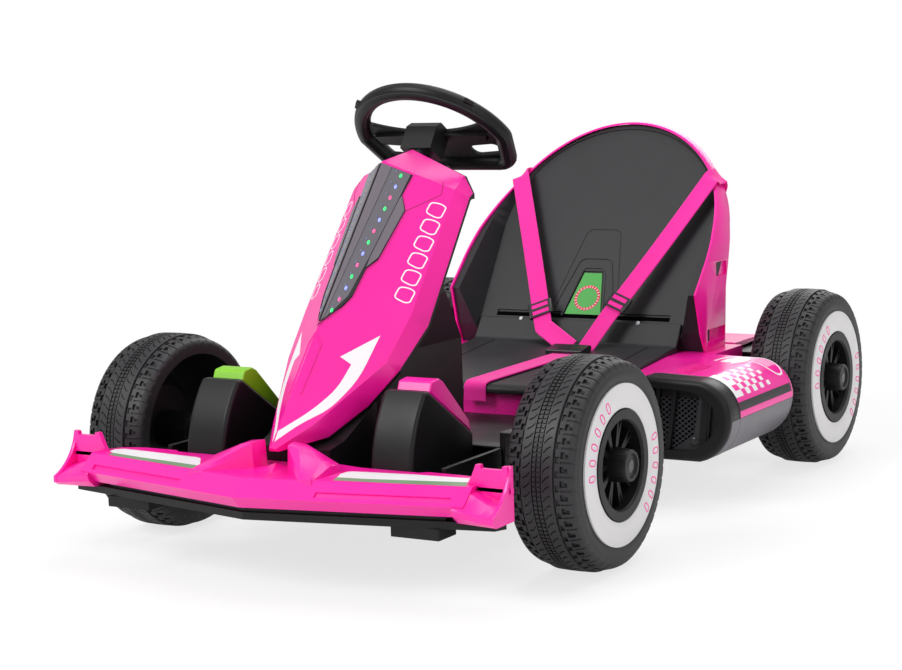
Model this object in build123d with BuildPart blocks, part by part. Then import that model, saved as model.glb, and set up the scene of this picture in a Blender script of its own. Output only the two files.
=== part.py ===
from build123d import *
import math
import os

# Ride-on kart in plastic and steel, millimetres.
# +Z is up, the nose points along -Y and the driver's left is +X.
# The origin is on the floor, below the middle of the overall length.

# Wheels and track
WHEELBASE = 640.0
FRONT_AXLE_Y = -268.0
REAR_AXLE_Y = FRONT_AXLE_Y + WHEELBASE
TYRE_R = 117.0
TYRE_W = 80.0
TYRE_SHOULDER_R = TYRE_R - 7.5
TYRE_WALL = 8.0
TYRE_LIP = 3.0
RING_OUT_R = TYRE_R - 29.0
RING_IN_R = TYRE_R - 55.5
RING_BULGE = 4.5
RIM_R = RING_IN_R - 1.5
RIM_LIP = 6.0
WELL_R = RIM_R - 12.0
WELL_DEPTH = 20.0
SPOKE_COUNT = 10
SPOKE_W = 5.0
SPOKE_END_W = 11.0
SPOKE_FORK_R = 33.0
HUB_R = 23.0
CAP_BASE_R = 20.0
CAP_R = 16.5
CAP_DISH = 2.0
CAP_REACH = 53.0
AXLE_R = 6.0
RUN_FIT = 0.08
SEAT_FIT = 0.3

# Front axle and steering
FLOOR_HALF_W = 185.0
KINGPIN_X = FLOOR_HALF_W + 20.0
WHEEL_X = KINGPIN_X + 79.0
KINGPIN_R = 5.0
SLEEVE_R = 10.0
BEAM_SIZE = 24.0
BEAM_REACH = FLOOR_HALF_W + 1.0
YOKE_PLATE = 4.0
ARM_LEN = 60.0
ARM_T = 5.0
ARM_DROP = 2.0
ARM_W = 16.0
ARM_PIN_R = 4.0
STEER_LOCK = 40.0
KNUCKLE_RATIO = 0.5525
COLUMN_TILT = 33.0
WHEEL_TILT = 41.0
WHEEL_CENTRE_Y = -119.0
WHEEL_CENTRE_Z = 469.5
CRANK_R = 34.0
SHAFT_R = 7.0
CRANK_PIN_R = 5.0
TIE_ROD_T = 6.0
TIE_ROD_W = 18.0
TINE_GAP = 1.0

# Steering wheel, in its own plane
GRIP_R = 10.0
HUB_BOX_W = 42.0
HUB_BOX_FRONT = 13.4
HUB_BOX_BACK = 17.0
HUB_BOX_DROP = 31.0
HUB_BOX_RISE = 7.4
HUB_BEVEL = 9.0

# Floor and underbody
FLOOR_T = 6.0
FLOOR_Z = TYRE_R - 17.0
FLOOR_TOP_Z = FLOOR_Z + FLOOR_T
FLOOR_FRONT_Y = -425.7
TRAY_FRONT_Y = 30.0
TRAY_BACK_Y = 300.0
TRAY_BOTTOM_Z = 62.0
TRAY_HALF_W = 150.0
TRAY_WALL = 4.0
RIM_TOP_Z = 128.0

# Front wing
WING_HALF_W = 250.0
WING_SWEEP = 50.0 / WING_HALF_W
LIP_BOTTOM_Z = 94.0
LIP_TOP_Z = 107.0
DECK_Z = 124.0
LIP_FRONT_Y = -525.0
LIP_BOTTOM_Y = -513.0
DECK_FRONT_Y = -505.0
DECK_BACK_Y = -394.0
DECK_BACK_SWEEP = -55.0 / WING_HALF_W
UNDERLIP_Z = 80.0
GUARD_X = 188.0
GUARD_Z = 68.0
WING_BACK_CUT_Y = -426.0
WING_CUT_Z = FLOOR_TOP_Z + SEAT_FIT

# Nose cowl: its ridge runs straight from RIDGE_TOP down to the tip
RIDGE_TOP_Y = -218.0
RIDGE_TOP_Z = 439.0
RIDGE_ANGLE = 51.0
COWL_SLOPE = 0.8
COWL_WALL = 4.0
COWL_BACK_Y = -152.0
CONSOLE_HALF_W = 60.0
KNEE_Z = 229.0
CONSOLE_FOOT_W = 48.0
CONSOLE_FRONT_Y = -414.0
CONSOLE_BACK_Y = -154.0
CONSOLE_WALL = 4.0
COLLAR_R = 14.0
STRIP_T = 3.0
STRIP_SET = 1.8

# Seat
SEAT_HALF_W = 186.0
SEAT_ARCH_R = 184.0
SEAT_ARCH_Z = 271.0
CREASE_Y = 241.0
CREASE_Z = 170.0
SEAT_TOP_Y = 434.0
SEAT_TOP_Z = 451.0
PAN_HALF_W = 155.0
PAN_FRONT_Y = 2.0
PAN_FRONT_Z = 146.0
PAN_T = 12.0
BACK_T = 6.0
SHELL_T = 3.0

# Side pods
POD_IN_X = 206.0
POD_OUT_X = 319.0
POD_TOP_Z = 162.0
POD_BOTTOM_Z = 60.0
POD_WIDEST_Z = 115.0
POD_SPLIT_Z = 111.0
POD_FRONT_Y = 30.0
POD_BACK_Y = 246.0
POD_FRAME_D = 34.0
POD_FRAME_W = 13.0
POD_RECESS_D = 12.0
POD_EDGE_R = 7.0
POD_TAIL_R = 16.0

# Rear
COVER_HALF_W = 188.0
COVER_FRONT_Y = 345.0
COVER_BACK_Y = 470.0
COVER_TOP_Z = 160.0
BUMPER_HALF_W = 205.0
BUMPER_BACK_Y = 525.0

SIDES = [("left", 1), ("right", -1)]
os.makedirs("parts", exist_ok=True)


def ridge_point(s, d):
    """Point in the middle plane, s down the cowl's ridge and d square below it."""
    c = math.cos(math.radians(RIDGE_ANGLE))
    k = math.sin(math.radians(RIDGE_ANGLE))
    return (RIDGE_TOP_Y - s * c + d * k, RIDGE_TOP_Z - s * k - d * c)


def ridge_plane(s):
    """Plane square to the ridge: local x is +X, local y points down and back."""
    y, z = ridge_point(s, 0)
    c = math.cos(math.radians(RIDGE_ANGLE))
    k = math.sin(math.radians(RIDGE_ANGLE))
    return Plane(origin=(0, y, z), x_dir=(1, 0, 0), z_dir=(0, c, k))


def tilt_axis(angle):
    """Unit vector in the middle plane, tipped back from upright by the angle."""
    a = math.radians(angle)
    return Vector(0, math.sin(a), math.cos(a))


def section_on(plane, points):
    """Closed outline of points, sketched on the plane."""
    with BuildSketch(plane) as outline:
        with BuildLine():
            Polyline(*points, close=True)
        make_face()
    return outline.sketch


COLUMN_TOP = Vector(0, WHEEL_CENTRE_Y, WHEEL_CENTRE_Z)
COLUMN_UP = tilt_axis(COLUMN_TILT)
ARM_TOP_Z = FLOOR_Z - ARM_DROP
TIE_TOP_Z = ARM_TOP_Z - ARM_T - SEAT_FIT
SHAFT_END = COLUMN_TOP - COLUMN_UP * ((WHEEL_CENTRE_Z - TIE_TOP_Z - 4.0) / COLUMN_UP.Z)
CRANK_DIR = Vector(0, -COLUMN_UP.Z, COLUMN_UP.Y)


def on_column(ahead, up):
    """Point of the middle plane, up the steering column from its top and ahead of it, as (y, z)."""
    point = COLUMN_TOP + CRANK_DIR * ahead + COLUMN_UP * up
    return (point.Y, point.Z)



# Wheels
def wheel_plane(side, axle_y):
    """Plane through the wheel's axis: local x points outboard and local y up."""
    return Plane(origin=(side * WHEEL_X, axle_y, TYRE_R), x_dir=(side, 0, 0), z_dir=(0, -side, 0))


# Half tyre profile: distance outboard from the middle, radius
FACE = TYRE_W / 2
CROWN_HALF_W = FACE - 16
TREAD = [(-FACE, TYRE_SHOULDER_R - 5.5), (-FACE + 4, TYRE_SHOULDER_R), (-CROWN_HALF_W - 2, TYRE_R - 5),
         (-CROWN_HALF_W, TYRE_R), (CROWN_HALF_W, TYRE_R), (CROWN_HALF_W + 2, TYRE_R - 5),
         (FACE - 4, TYRE_SHOULDER_R + 1.5), (FACE, TYRE_SHOULDER_R - 4)]

for axle, axle_y in [("front", FRONT_AXLE_Y), ("rear", REAR_AXLE_Y)]:
    for side_name, side in SIDES:
        frame = wheel_plane(side, axle_y)
        spin = Axis(frame.origin, frame.x_dir)
        inner_r = TYRE_SHOULDER_R - TYRE_WALL

        with BuildPart() as tyre:
            with BuildSketch(frame):
                with BuildLine():
                    Polyline(*TREAD, (FACE, RIM_R + SEAT_FIT), (FACE - TYRE_WALL, RIM_R + SEAT_FIT),
                             (FACE - TYRE_WALL, inner_r), (-FACE + TYRE_LIP, inner_r),
                             (-FACE, inner_r - TYRE_LIP - 5), close=True)
                make_face()
            revolve(axis=spin)
        tyre.part.label = f"tyre_{axle}_{side_name}"
        export_step(tyre.part, f"parts/{tyre.part.label}.step")

        with BuildPart() as ring:
            with BuildSketch(frame):
                with BuildLine():
                    Polyline((FACE, RING_OUT_R), (FACE, RING_IN_R))
                    Polyline((FACE, RING_IN_R), (FACE + 2, RING_IN_R))
                    ThreePointArc((FACE + 2, RING_IN_R), (FACE + RING_BULGE, (RING_OUT_R + RING_IN_R) / 2),
                                  (FACE + 2, RING_OUT_R))
                    Polyline((FACE + 2, RING_OUT_R), (FACE, RING_OUT_R))
                make_face()
            revolve(axis=spin)
        ring.part.label = f"ring_{axle}_{side_name}"
        export_step(ring.part, f"parts/{ring.part.label}.step")

        with BuildPart() as rim:
            with BuildSketch(frame):
                with BuildLine():
                    Polyline((-FACE + 6, AXLE_R + RUN_FIT), (-FACE + 6, HUB_R - 3),
                             (FACE - WELL_DEPTH - 6, HUB_R),
                             (FACE - WELL_DEPTH - 6, WELL_R + 5), (FACE - TYRE_WALL - 6, WELL_R + 5),
                             (FACE - TYRE_WALL - 6, RIM_R + 5), (FACE - TYRE_WALL, RIM_R + 5),
                             (FACE - TYRE_WALL, RIM_R), (FACE + 3, RIM_R), (FACE + 3, WELL_R + 2),
                             (FACE, WELL_R), (FACE - WELL_DEPTH, WELL_R), (FACE - WELL_DEPTH, HUB_R),
                             (FACE - WELL_DEPTH + 3, HUB_R - 1),
                             (FACE - WELL_DEPTH + 3, CAP_BASE_R), (CAP_REACH - 2, CAP_R + 1),
                             (CAP_REACH, CAP_R), (CAP_REACH, CAP_R - 3), (CAP_REACH - CAP_DISH, CAP_R - 4),
                             (CAP_REACH - CAP_DISH, 0),
                             (CAP_REACH - 12, 0), (CAP_REACH - 12, AXLE_R + RUN_FIT), close=True)
                make_face()
            revolve(axis=spin)
            hub_face = Plane(origin=frame.origin + frame.x_dir * (FACE - WELL_DEPTH - 1),
                             x_dir=(0, 1, 0), z_dir=frame.x_dir)
            with BuildSketch(hub_face):
                with PolarLocations(0, SPOKE_COUNT):
                    Polygon((HUB_R - 4, -SPOKE_W / 2), (WELL_R + 3, -SPOKE_END_W / 2), (WELL_R + 3, -2.5),
                            (SPOKE_FORK_R, 0), (WELL_R + 3, 2.5), (WELL_R + 3, SPOKE_END_W / 2),
                            (HUB_R - 4, SPOKE_W / 2), align=None)
            extrude(amount=WELL_DEPTH - 7)
        rim.part.label = f"rim_{axle}_{side_name}"
        export_step(rim.part, f"parts/{rim.part.label}.step")

# Front axle: a square tube with a yoke and a kingpin at each end
SLEEVE_TOP = TYRE_R + 24.0
SLEEVE_BOTTOM = TYRE_R - 24.0
with BuildPart() as front_axle:
    with BuildSketch(Plane.YZ.offset(-BEAM_REACH)):
        with Locations((FRONT_AXLE_Y, TYRE_R)):
            Rectangle(BEAM_SIZE, BEAM_SIZE)
    extrude(amount=2 * BEAM_REACH)
    for side_name, side in SIDES:
        with BuildSketch(Plane.XY.offset(SLEEVE_BOTTOM - YOKE_PLATE - SEAT_FIT)):
            with Locations((side * (BEAM_REACH - 2), FRONT_AXLE_Y)):
                Rectangle(6, BEAM_SIZE)
        extrude(amount=SLEEVE_TOP - SLEEVE_BOTTOM + 2 * YOKE_PLATE + 2 * SEAT_FIT)
        for plate_z in (SLEEVE_BOTTOM - YOKE_PLATE - SEAT_FIT, SLEEVE_TOP + SEAT_FIT):
            with BuildSketch(Plane.XY.offset(plate_z)):
                with Locations((side * (BEAM_REACH - 4 + KINGPIN_X) / 2, FRONT_AXLE_Y)):
                    Rectangle(KINGPIN_X - BEAM_REACH + 4, BEAM_SIZE)
                with Locations((side * KINGPIN_X, FRONT_AXLE_Y)):
                    Circle(BEAM_SIZE / 2)
            extrude(amount=YOKE_PLATE)
        with BuildSketch(Plane.XY.offset(SLEEVE_BOTTOM - YOKE_PLATE - 4)):
            with Locations((side * KINGPIN_X, FRONT_AXLE_Y)):
                Circle(KINGPIN_R)
        extrude(amount=SLEEVE_TOP - SLEEVE_BOTTOM + 2 * YOKE_PLATE + 8)
front_axle.part.label = "front_axle"
export_step(front_axle.part, "parts/front_axle.step")

# Steering knuckles: sleeve, stub axle and steering arm
for side_name, side in SIDES:
    with BuildPart() as knuckle:
        with BuildSketch(Plane.XY.offset(SLEEVE_BOTTOM)):
            with Locations((side * KINGPIN_X, FRONT_AXLE_Y)):
                Circle(SLEEVE_R)
        extrude(amount=SLEEVE_TOP - SLEEVE_BOTTOM)
        with BuildSketch(Plane.YZ.offset(side * KINGPIN_X)):
            with Locations((FRONT_AXLE_Y, TYRE_R)):
                Circle(AXLE_R)
        extrude(amount=side * (WHEEL_X + CAP_REACH - 14 - KINGPIN_X))
        with BuildSketch(Plane.YZ.offset(side * KINGPIN_X)):
            with Locations((FRONT_AXLE_Y, TYRE_R)):
                Circle(AXLE_R + 6)
        extrude(amount=side * (WHEEL_X - FACE + 6 - SEAT_FIT - KINGPIN_X))
        with BuildSketch(Plane.XY.offset(ARM_TOP_Z - ARM_T)):
            with BuildLine():
                Polyline((side * KINGPIN_X - ARM_W / 2, FRONT_AXLE_Y),
                         (side * KINGPIN_X - ARM_W / 2, FRONT_AXLE_Y - ARM_LEN),
                         (side * KINGPIN_X + ARM_W / 2, FRONT_AXLE_Y - ARM_LEN),
                         (side * KINGPIN_X + ARM_W / 2, FRONT_AXLE_Y), close=True)
            make_face()
            with Locations((side * KINGPIN_X, FRONT_AXLE_Y - ARM_LEN)):
                Circle(ARM_W / 2)
        extrude(amount=ARM_T)
        with BuildSketch(Plane.XY.offset(ARM_TOP_Z - ARM_T)):
            with Locations((side * KINGPIN_X, FRONT_AXLE_Y - ARM_LEN)):
                Circle(ARM_PIN_R)
        extrude(amount=-(TIE_ROD_T + 4))
        with BuildSketch(Plane.XY.offset(SLEEVE_BOTTOM - 1)):
            with Locations((side * KINGPIN_X, FRONT_AXLE_Y)):
                Circle(KINGPIN_R + RUN_FIT)
        extrude(amount=SLEEVE_TOP - SLEEVE_BOTTOM + 2, mode=Mode.SUBTRACT)
    knuckle.part.label = f"knuckle_{side_name}"
    export_step(knuckle.part, f"parts/{knuckle.part.label}.step")

# Steering shaft: a rod with a crank at its foot, whose pin runs between the tie rod's tines
shaft_plane = Plane(origin=SHAFT_END, x_dir=(1, 0, 0), z_dir=COLUMN_UP)
shaft_len = (COLUMN_TOP - SHAFT_END).length
HUB_FOOT = HUB_BOX_DROP - 8.0
CRANK_T = 8.0
with BuildPart() as steering_shaft:
    with BuildSketch(shaft_plane):
        Circle(SHAFT_R)
    extrude(amount=shaft_len - HUB_FOOT)
    with BuildSketch(shaft_plane):
        with BuildLine():
            Polyline((-SHAFT_R, 0), (-SHAFT_R, -CRANK_R), (SHAFT_R, -CRANK_R), (SHAFT_R, 0), close=True)
        make_face()
        with Locations((0, -CRANK_R)):
            Circle(SHAFT_R)
    extrude(amount=CRANK_T)
    with BuildSketch(shaft_plane):
        with Locations((0, -CRANK_R)):
            Circle(CRANK_PIN_R)
    extrude(amount=-30)
steering_shaft.part.label = "steering_shaft"
export_step(steering_shaft.part, "parts/steering_shaft.step")

# Tie rod: a flat bar bowed forward to meet the crank pin between two tines
pin_foot = SHAFT_END + CRANK_DIR * CRANK_R - COLUMN_UP * 30
pin_head = SHAFT_END + CRANK_DIR * CRANK_R
TINE_W = 4.0
tie_y = FRONT_AXLE_Y - ARM_LEN
bow_y = pin_foot.Y
TINE_TOP_Z = TIE_TOP_Z + 6.0
with BuildPart() as tie_rod:
    with BuildSketch(Plane.XY.offset(TIE_TOP_Z - TIE_ROD_T)):
        with BuildLine():
            Polyline((-KINGPIN_X - 12, tie_y - 12), (-KINGPIN_X + 30, tie_y - 12), (-70, bow_y - 14),
                     (70, bow_y - 14), (KINGPIN_X - 30, tie_y - 12), (KINGPIN_X + 12, tie_y - 12),
                     (KINGPIN_X + 12, tie_y + 16), (KINGPIN_X - 22, tie_y + 16), (64, bow_y + 24),
                     (-64, bow_y + 24), (-KINGPIN_X + 22, tie_y + 16), (-KINGPIN_X - 12, tie_y + 16),
                     close=True)
        make_face()
        with Locations((-KINGPIN_X, tie_y + 2.5), (KINGPIN_X, tie_y + 2.5)):
            SlotOverall(2 * ARM_PIN_R + 2 * SEAT_FIT + 6.5, 2 * (ARM_PIN_R + SEAT_FIT), rotation=90,
                        mode=Mode.SUBTRACT)
        with Locations((0, bow_y + 5)):
            Rectangle(2 * (CRANK_PIN_R + TINE_GAP), 30, mode=Mode.SUBTRACT)
    extrude(amount=TIE_ROD_T)
    for side_name, side in SIDES:
        with BuildSketch(Plane.XY.offset(TIE_TOP_Z)):
            with Locations((side * (CRANK_PIN_R + TINE_GAP + TINE_W / 2), bow_y + 5)):
                Rectangle(TINE_W, 30)
        extrude(amount=TINE_TOP_Z - TIE_TOP_Z)
tie_rod.part.label = "tie_rod"
export_step(tie_rod.part, "parts/tie_rod.step")

# Grip centre line, as (sideways, up the wheel's plane)
GRIP_TOP = 67.0
GRIP_SIDE = 96.0
GRIP_FOOT = -66.0
GRIP_RISE = 5.0
PLATE_HALF_T = 2.5
SPUR_W = 12.0

# Steering wheel: D-shaped rim, side spokes and a faceted hub, in one moulding
wheel_up = tilt_axis(WHEEL_TILT)
rim_plane = Plane(origin=COLUMN_TOP + wheel_up * GRIP_RISE, x_dir=(-1, 0, 0), z_dir=wheel_up)
with BuildLine() as grip_line:
    ThreePointArc((-GRIP_SIDE, -16), (0, GRIP_TOP), (GRIP_SIDE, -16))
    Polyline((GRIP_SIDE, -16), (GRIP_SIDE - 14, GRIP_FOOT), (14 - GRIP_SIDE, GRIP_FOOT), (-GRIP_SIDE, -16))
    fillet(grip_line.vertices(), 16)
grip_path = rim_plane.from_local_coords(grip_line.wires()[0])
with BuildPart() as steering_wheel:
    with BuildSketch(rim_plane):
        with BuildLine():
            add(grip_line.line)
        make_face()
        with BuildLine():
            ThreePointArc((8 - GRIP_SIDE, 14), (0, GRIP_TOP + 2), (GRIP_SIDE - 8, 14))
            ThreePointArc((GRIP_SIDE - 8, 14), (54, 0), (22, -6))
            Line((22, -6), (-22, -6))
            ThreePointArc((-22, -6), (-54, 0), (8 - GRIP_SIDE, 14))
        make_face(mode=Mode.SUBTRACT)
        for side_name, side in SIDES:
            with Locations((side * 62, GRIP_FOOT + 26)):
                SlotOverall(42, 19, rotation=side * 6, mode=Mode.SUBTRACT)
            with Locations((side * (GRIP_SIDE - 26), 40)):
                Rectangle(22, SPUR_W, rotation=side * 35)
    extrude(amount=PLATE_HALF_T, both=True)
    for side_name, side in SIDES:
        with BuildSketch(rim_plane.offset(PLATE_HALF_T)):
            with BuildLine():
                Polyline((side * 18, -6), (side * (GRIP_SIDE - 18), -8), (side * (GRIP_SIDE - 22), -20),
                         (side * 18, -24), close=True)
            make_face()
        extrude(amount=-4 * PLATE_HALF_T)
    with BuildSketch(Plane(origin=grip_path @ 0, z_dir=grip_path % 0)):
        Circle(GRIP_R)
    sweep(path=grip_path)
    extrude(section_on(Plane.YZ.offset(-HUB_BOX_W / 2), [
        on_column(-HUB_BOX_BACK, -HUB_BOX_DROP), on_column(HUB_BOX_FRONT, -HUB_BOX_DROP),
        on_column(HUB_BOX_FRONT, HUB_BOX_RISE - HUB_BEVEL),
        on_column(HUB_BOX_FRONT - HUB_BEVEL * 0.8, HUB_BOX_RISE),
        on_column(-HUB_BOX_BACK, HUB_BOX_RISE)]), amount=HUB_BOX_W)
    with BuildSketch(Plane(origin=COLUMN_TOP - COLUMN_UP * (HUB_BOX_DROP + 1), x_dir=(1, 0, 0),
                           z_dir=COLUMN_UP)):
        Circle(SHAFT_R + SEAT_FIT / 3)
    extrude(amount=HUB_BOX_DROP + 1 - HUB_FOOT + SEAT_FIT, mode=Mode.SUBTRACT)
steering_wheel.part.label = "steering_wheel"
export_step(steering_wheel.part, "parts/steering_wheel.step")

# Chassis floor: flat front, upstanding sides, and a tray below the seat
with BuildPart() as chassis_floor:
    with BuildSketch(Plane.XY.offset(FLOOR_Z)):
        with BuildLine():
            Polyline((-120, FLOOR_FRONT_Y), (120, FLOOR_FRONT_Y), (FLOOR_HALF_W, -415),
                     (FLOOR_HALF_W, -110),
                     (198, TRAY_FRONT_Y), (198, 320), (186, 335), (186, COVER_BACK_Y - 10),
                     (-186, COVER_BACK_Y - 10), (-186, 335), (-198, 320), (-198, TRAY_FRONT_Y),
                     (-FLOOR_HALF_W, -110), (-FLOOR_HALF_W, -415), close=True)
        make_face()
        with Locations((0, (TRAY_FRONT_Y + TRAY_BACK_Y) / 2)):
            Rectangle(2 * (TRAY_HALF_W - TRAY_WALL), TRAY_BACK_Y - TRAY_FRONT_Y - 2 * TRAY_WALL,
                      mode=Mode.SUBTRACT)
    extrude(amount=FLOOR_T)
    with BuildSketch(Plane.XY.offset(TRAY_BOTTOM_Z)):
        with Locations((0, (TRAY_FRONT_Y + TRAY_BACK_Y) / 2)):
            Rectangle(2 * TRAY_HALF_W, TRAY_BACK_Y - TRAY_FRONT_Y)
    extrude(amount=FLOOR_Z - TRAY_BOTTOM_Z)
    with BuildSketch(Plane.XY.offset(TRAY_BOTTOM_Z + TRAY_WALL)):
        with Locations((0, (TRAY_FRONT_Y + TRAY_BACK_Y) / 2)):
            Rectangle(2 * (TRAY_HALF_W - TRAY_WALL), TRAY_BACK_Y - TRAY_FRONT_Y - 2 * TRAY_WALL)
    extrude(amount=FLOOR_Z, mode=Mode.SUBTRACT)
    for side_name, side in SIDES:
        with BuildSketch(Plane.XY.offset(FLOOR_Z)):
            with Locations((side * (FLOOR_HALF_W - 3), -300)):
                Rectangle(6, 200)
        extrude(amount=RIM_TOP_Z - FLOOR_Z)
        with BuildSketch(Plane.XY.offset(FLOOR_Z)):
            with Locations((side * FLOOR_HALF_W, FRONT_AXLE_Y)):
                Rectangle(10, BEAM_SIZE + 2 * SEAT_FIT)
        extrude(amount=RIM_TOP_Z - FLOOR_Z, mode=Mode.SUBTRACT)
    with BuildSketch(Plane.XZ.offset(-(FRONT_AXLE_Y - BEAM_SIZE / 2 - SEAT_FIT))):
        with Locations((0, TYRE_R)):
            Rectangle(2 * FLOOR_HALF_W + 20, BEAM_SIZE + 2 * SEAT_FIT)
    extrude(amount=-(BEAM_SIZE + 2 * SEAT_FIT), mode=Mode.SUBTRACT)
    with BuildSketch(Plane.XY.offset(FLOOR_Z)):
        with Locations((0, (CONSOLE_FRONT_Y - 340) / 2)):
            Rectangle(90, -340 - CONSOLE_FRONT_Y)
    extrude(amount=FLOOR_T, mode=Mode.SUBTRACT)
chassis_floor.part.label = "chassis_floor"
export_step(chassis_floor.part, "parts/chassis_floor.step")

# Front wing: swept lip and deck, end blocks with upright winglets, and two horns beside the nose
def wing_section(x):
    """Outline of the wing across the car at x, as (y, z) points."""
    front = WING_SWEEP * x
    back = DECK_BACK_Y + DECK_BACK_SWEEP * x
    return [(LIP_BOTTOM_Y + front, LIP_BOTTOM_Z), (LIP_FRONT_Y + front, LIP_TOP_Z),
            (DECK_FRONT_Y + front, DECK_Z), (back, DECK_Z), (back, LIP_BOTTOM_Z)]


# Winglet seen from the front: distance outboard of the wing's end, height
WINGLET_OUTLINE = [(-14, 118), (-2, 145), (3, 145), (4, 141), (28, 141), (29, 145), (34, 145), (39, 118)]

with BuildPart() as front_wing:
    for side_name, side in SIDES:
        for x in (0, WING_HALF_W):
            with BuildSketch(Plane.YZ.offset(side * x)):
                with BuildLine():
                    Polyline(*wing_section(x), close=True)
                make_face()
        loft(ruled=True)
        for x, outline in ((WING_HALF_W - 12, [(-466, 88), (-475, 96), (-478, 104), (-458, 123),
                                               (-436, 123), (-436, 88)]),
                           (WING_HALF_W + 22, [(-470, 88), (-477, 93), (-478, 99), (-462, 108),
                                               (-436, 112), (-436, 88)]),
                           (WING_HALF_W + 37, [(-472, 88), (-479, 92), (-479, 98), (-462, 104),
                                               (-436, 110), (-436, 88)])):
            add(section_on(Plane.YZ.offset(side * x), outline))
        loft(ruled=True)
        with BuildSketch(Plane.XZ.offset(438)):
            with BuildLine():
                Polyline(*[(side * (WING_HALF_W + x), z) for x, z in WINGLET_OUTLINE], close=True)
            make_face()
        extrude(amount=6)
        with BuildSketch(Plane.YZ.offset(side * (WING_HALF_W + 33))):
            with BuildLine():
                Polyline((-436, 100), (-436, 145), (-441, 145))
                ThreePointArc((-441, 145), (-454, 117), (-479, 99))
                Polyline((-479, 99), (-479, 92), (-436, 92), (-436, 100))
            make_face()
        extrude(amount=side * 4)
        for y, outline in ((-438, [(17, 120), (19, 152), (37, 150), (76, 132), (80, 120)]),
                           (-456, [(22, 120), (24, 151), (38, 149), (78, 133), (82, 120)]),
                           (-494, [(60, 120), (62, 125), (70, 125), (78, 125), (80, 120)])):
            with BuildSketch(Plane.XZ.offset(-y)):
                with BuildLine():
                    Polyline(*[(side * x, z) for x, z in outline], close=True)
                make_face()
        loft(ruled=True)
        for x in (88, WING_HALF_W - 16):
            front = WING_SWEEP * x
            add(section_on(Plane.YZ.offset(side * x),
                           [(LIP_FRONT_Y + front + 3, 111.2), (LIP_FRONT_Y + front + 4.5, 107.5),
                (LIP_FRONT_Y + front + 10, 113), (LIP_FRONT_Y + front + 8, 115.4)]))
        loft(ruled=True, mode=Mode.SUBTRACT)
    with BuildSketch(Plane.XY):
        with Locations((0, WING_BACK_CUT_Y + 50)):
            Rectangle(430, 100)
    extrude(amount=WING_CUT_Z, mode=Mode.SUBTRACT)
    with BuildSketch(Plane.XY):
        with Locations((0, CONSOLE_FRONT_Y - 2 + 50)):
            Rectangle(2 * CONSOLE_FOOT_W + 4, 100)
    extrude(amount=DECK_Z + 1, mode=Mode.SUBTRACT)
front_wing.part.label = "front_wing"
export_step(front_wing.part, "parts/front_wing.step")

# Black under-tray below the wing, with two guard blocks in front of the tie rod
with BuildPart() as wing_lip:
    with BuildSketch(Plane.XY.offset(UNDERLIP_Z)):
        with BuildLine():
            Polyline((0, -508), (WING_HALF_W + 24, -508 + WING_SWEEP * 270), (WING_HALF_W + 30, -440),
                     (WING_HALF_W - 20, -436), (150, -432), (-150, -432), (-WING_HALF_W + 20, -436),
                     (-WING_HALF_W - 30, -440), (-WING_HALF_W - 24, -508 + WING_SWEEP * 270), close=True)
        make_face()
    extrude(amount=LIP_BOTTOM_Z - 6 - UNDERLIP_Z)
    with BuildSketch(Plane.XY.offset(LIP_BOTTOM_Z - 6)):
        with BuildLine():
            Polyline((0, -504), (220, -504 + WING_SWEEP * 220), (220, -444), (-220, -444),
                     (-220, -504 + WING_SWEEP * 220), close=True)
        make_face()
    extrude(amount=6)
    for side_name, side in SIDES:
        with BuildSketch(Plane.XY.offset(GUARD_Z)):
            with Locations((side * GUARD_X, -452)):
                Rectangle(58, 34)
        extrude(amount=UNDERLIP_Z - GUARD_Z)
wing_lip.part.label = "wing_lip"
export_step(wing_lip.part, "parts/wing_lip.step")

# Nose cowl: sections square to the ridge, columns are distance down the ridge,
# half width at the shoulder, half width at the edge, depth of the edge
COWL_SECTIONS = [
    (0, 70, 82, 72),
    (170, 72, 83, 80),
    (235, 66, 76, 68),
    (285, 46, 56, 63),
    (335, 26, 33, 46),
    (376, 4, 6, 8),
]


def cowl_outline(shoulder, edge, depth, inset):
    """Section of the cowl square to its ridge, drawn in by the inset."""
    fall = COWL_SLOPE * shoulder
    return [(0, inset * 1.3), (shoulder - inset, fall + inset * 0.4), (edge - inset, depth),
            (inset - edge, depth), (inset - shoulder, fall + inset * 0.4)]



def cap_outline(inset):
    """Upright outline of the cowl's rear mouth."""
    return [(0, 449 - inset * 1.3), (70 - inset, 418 - inset * 0.4), (81 - inset, 398),
            (inset - 81, 398), (inset - 70, 418 - inset * 0.4)]


CAP_PLANE = Plane.XZ.offset(-COWL_BACK_Y)

# Light strip outline on one face of the cowl: distance down the ridge, distance sideways
STRIP_OUTLINE = [(3, 0), (3, 30), (32, 27.4), (50, 35), (120, 28), (136, 21), (175, 18.4), (191, 13.5),
                 (217, 0)]


def face_plane(side, lift):
    """Plane on the cowl's sloping face: local x runs down the face, local y along the ridge."""
    c = math.cos(math.radians(RIDGE_ANGLE))
    k = math.sin(math.radians(RIDGE_ANGLE))
    along = Vector(side, COWL_SLOPE * k, -COWL_SLOPE * c).normalized()
    out = Vector(side * COWL_SLOPE, -k, c).normalized()
    top = Vector(0, RIDGE_TOP_Y, RIDGE_TOP_Z)
    return Plane(origin=top + out * lift, x_dir=along, z_dir=out)


def on_face(side, points):
    """Turn (down the ridge, sideways) pairs into the face plane's own coordinates."""
    stretch = math.hypot(1, COWL_SLOPE)
    return [(x * stretch, -side * s) for s, x in points]


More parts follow.
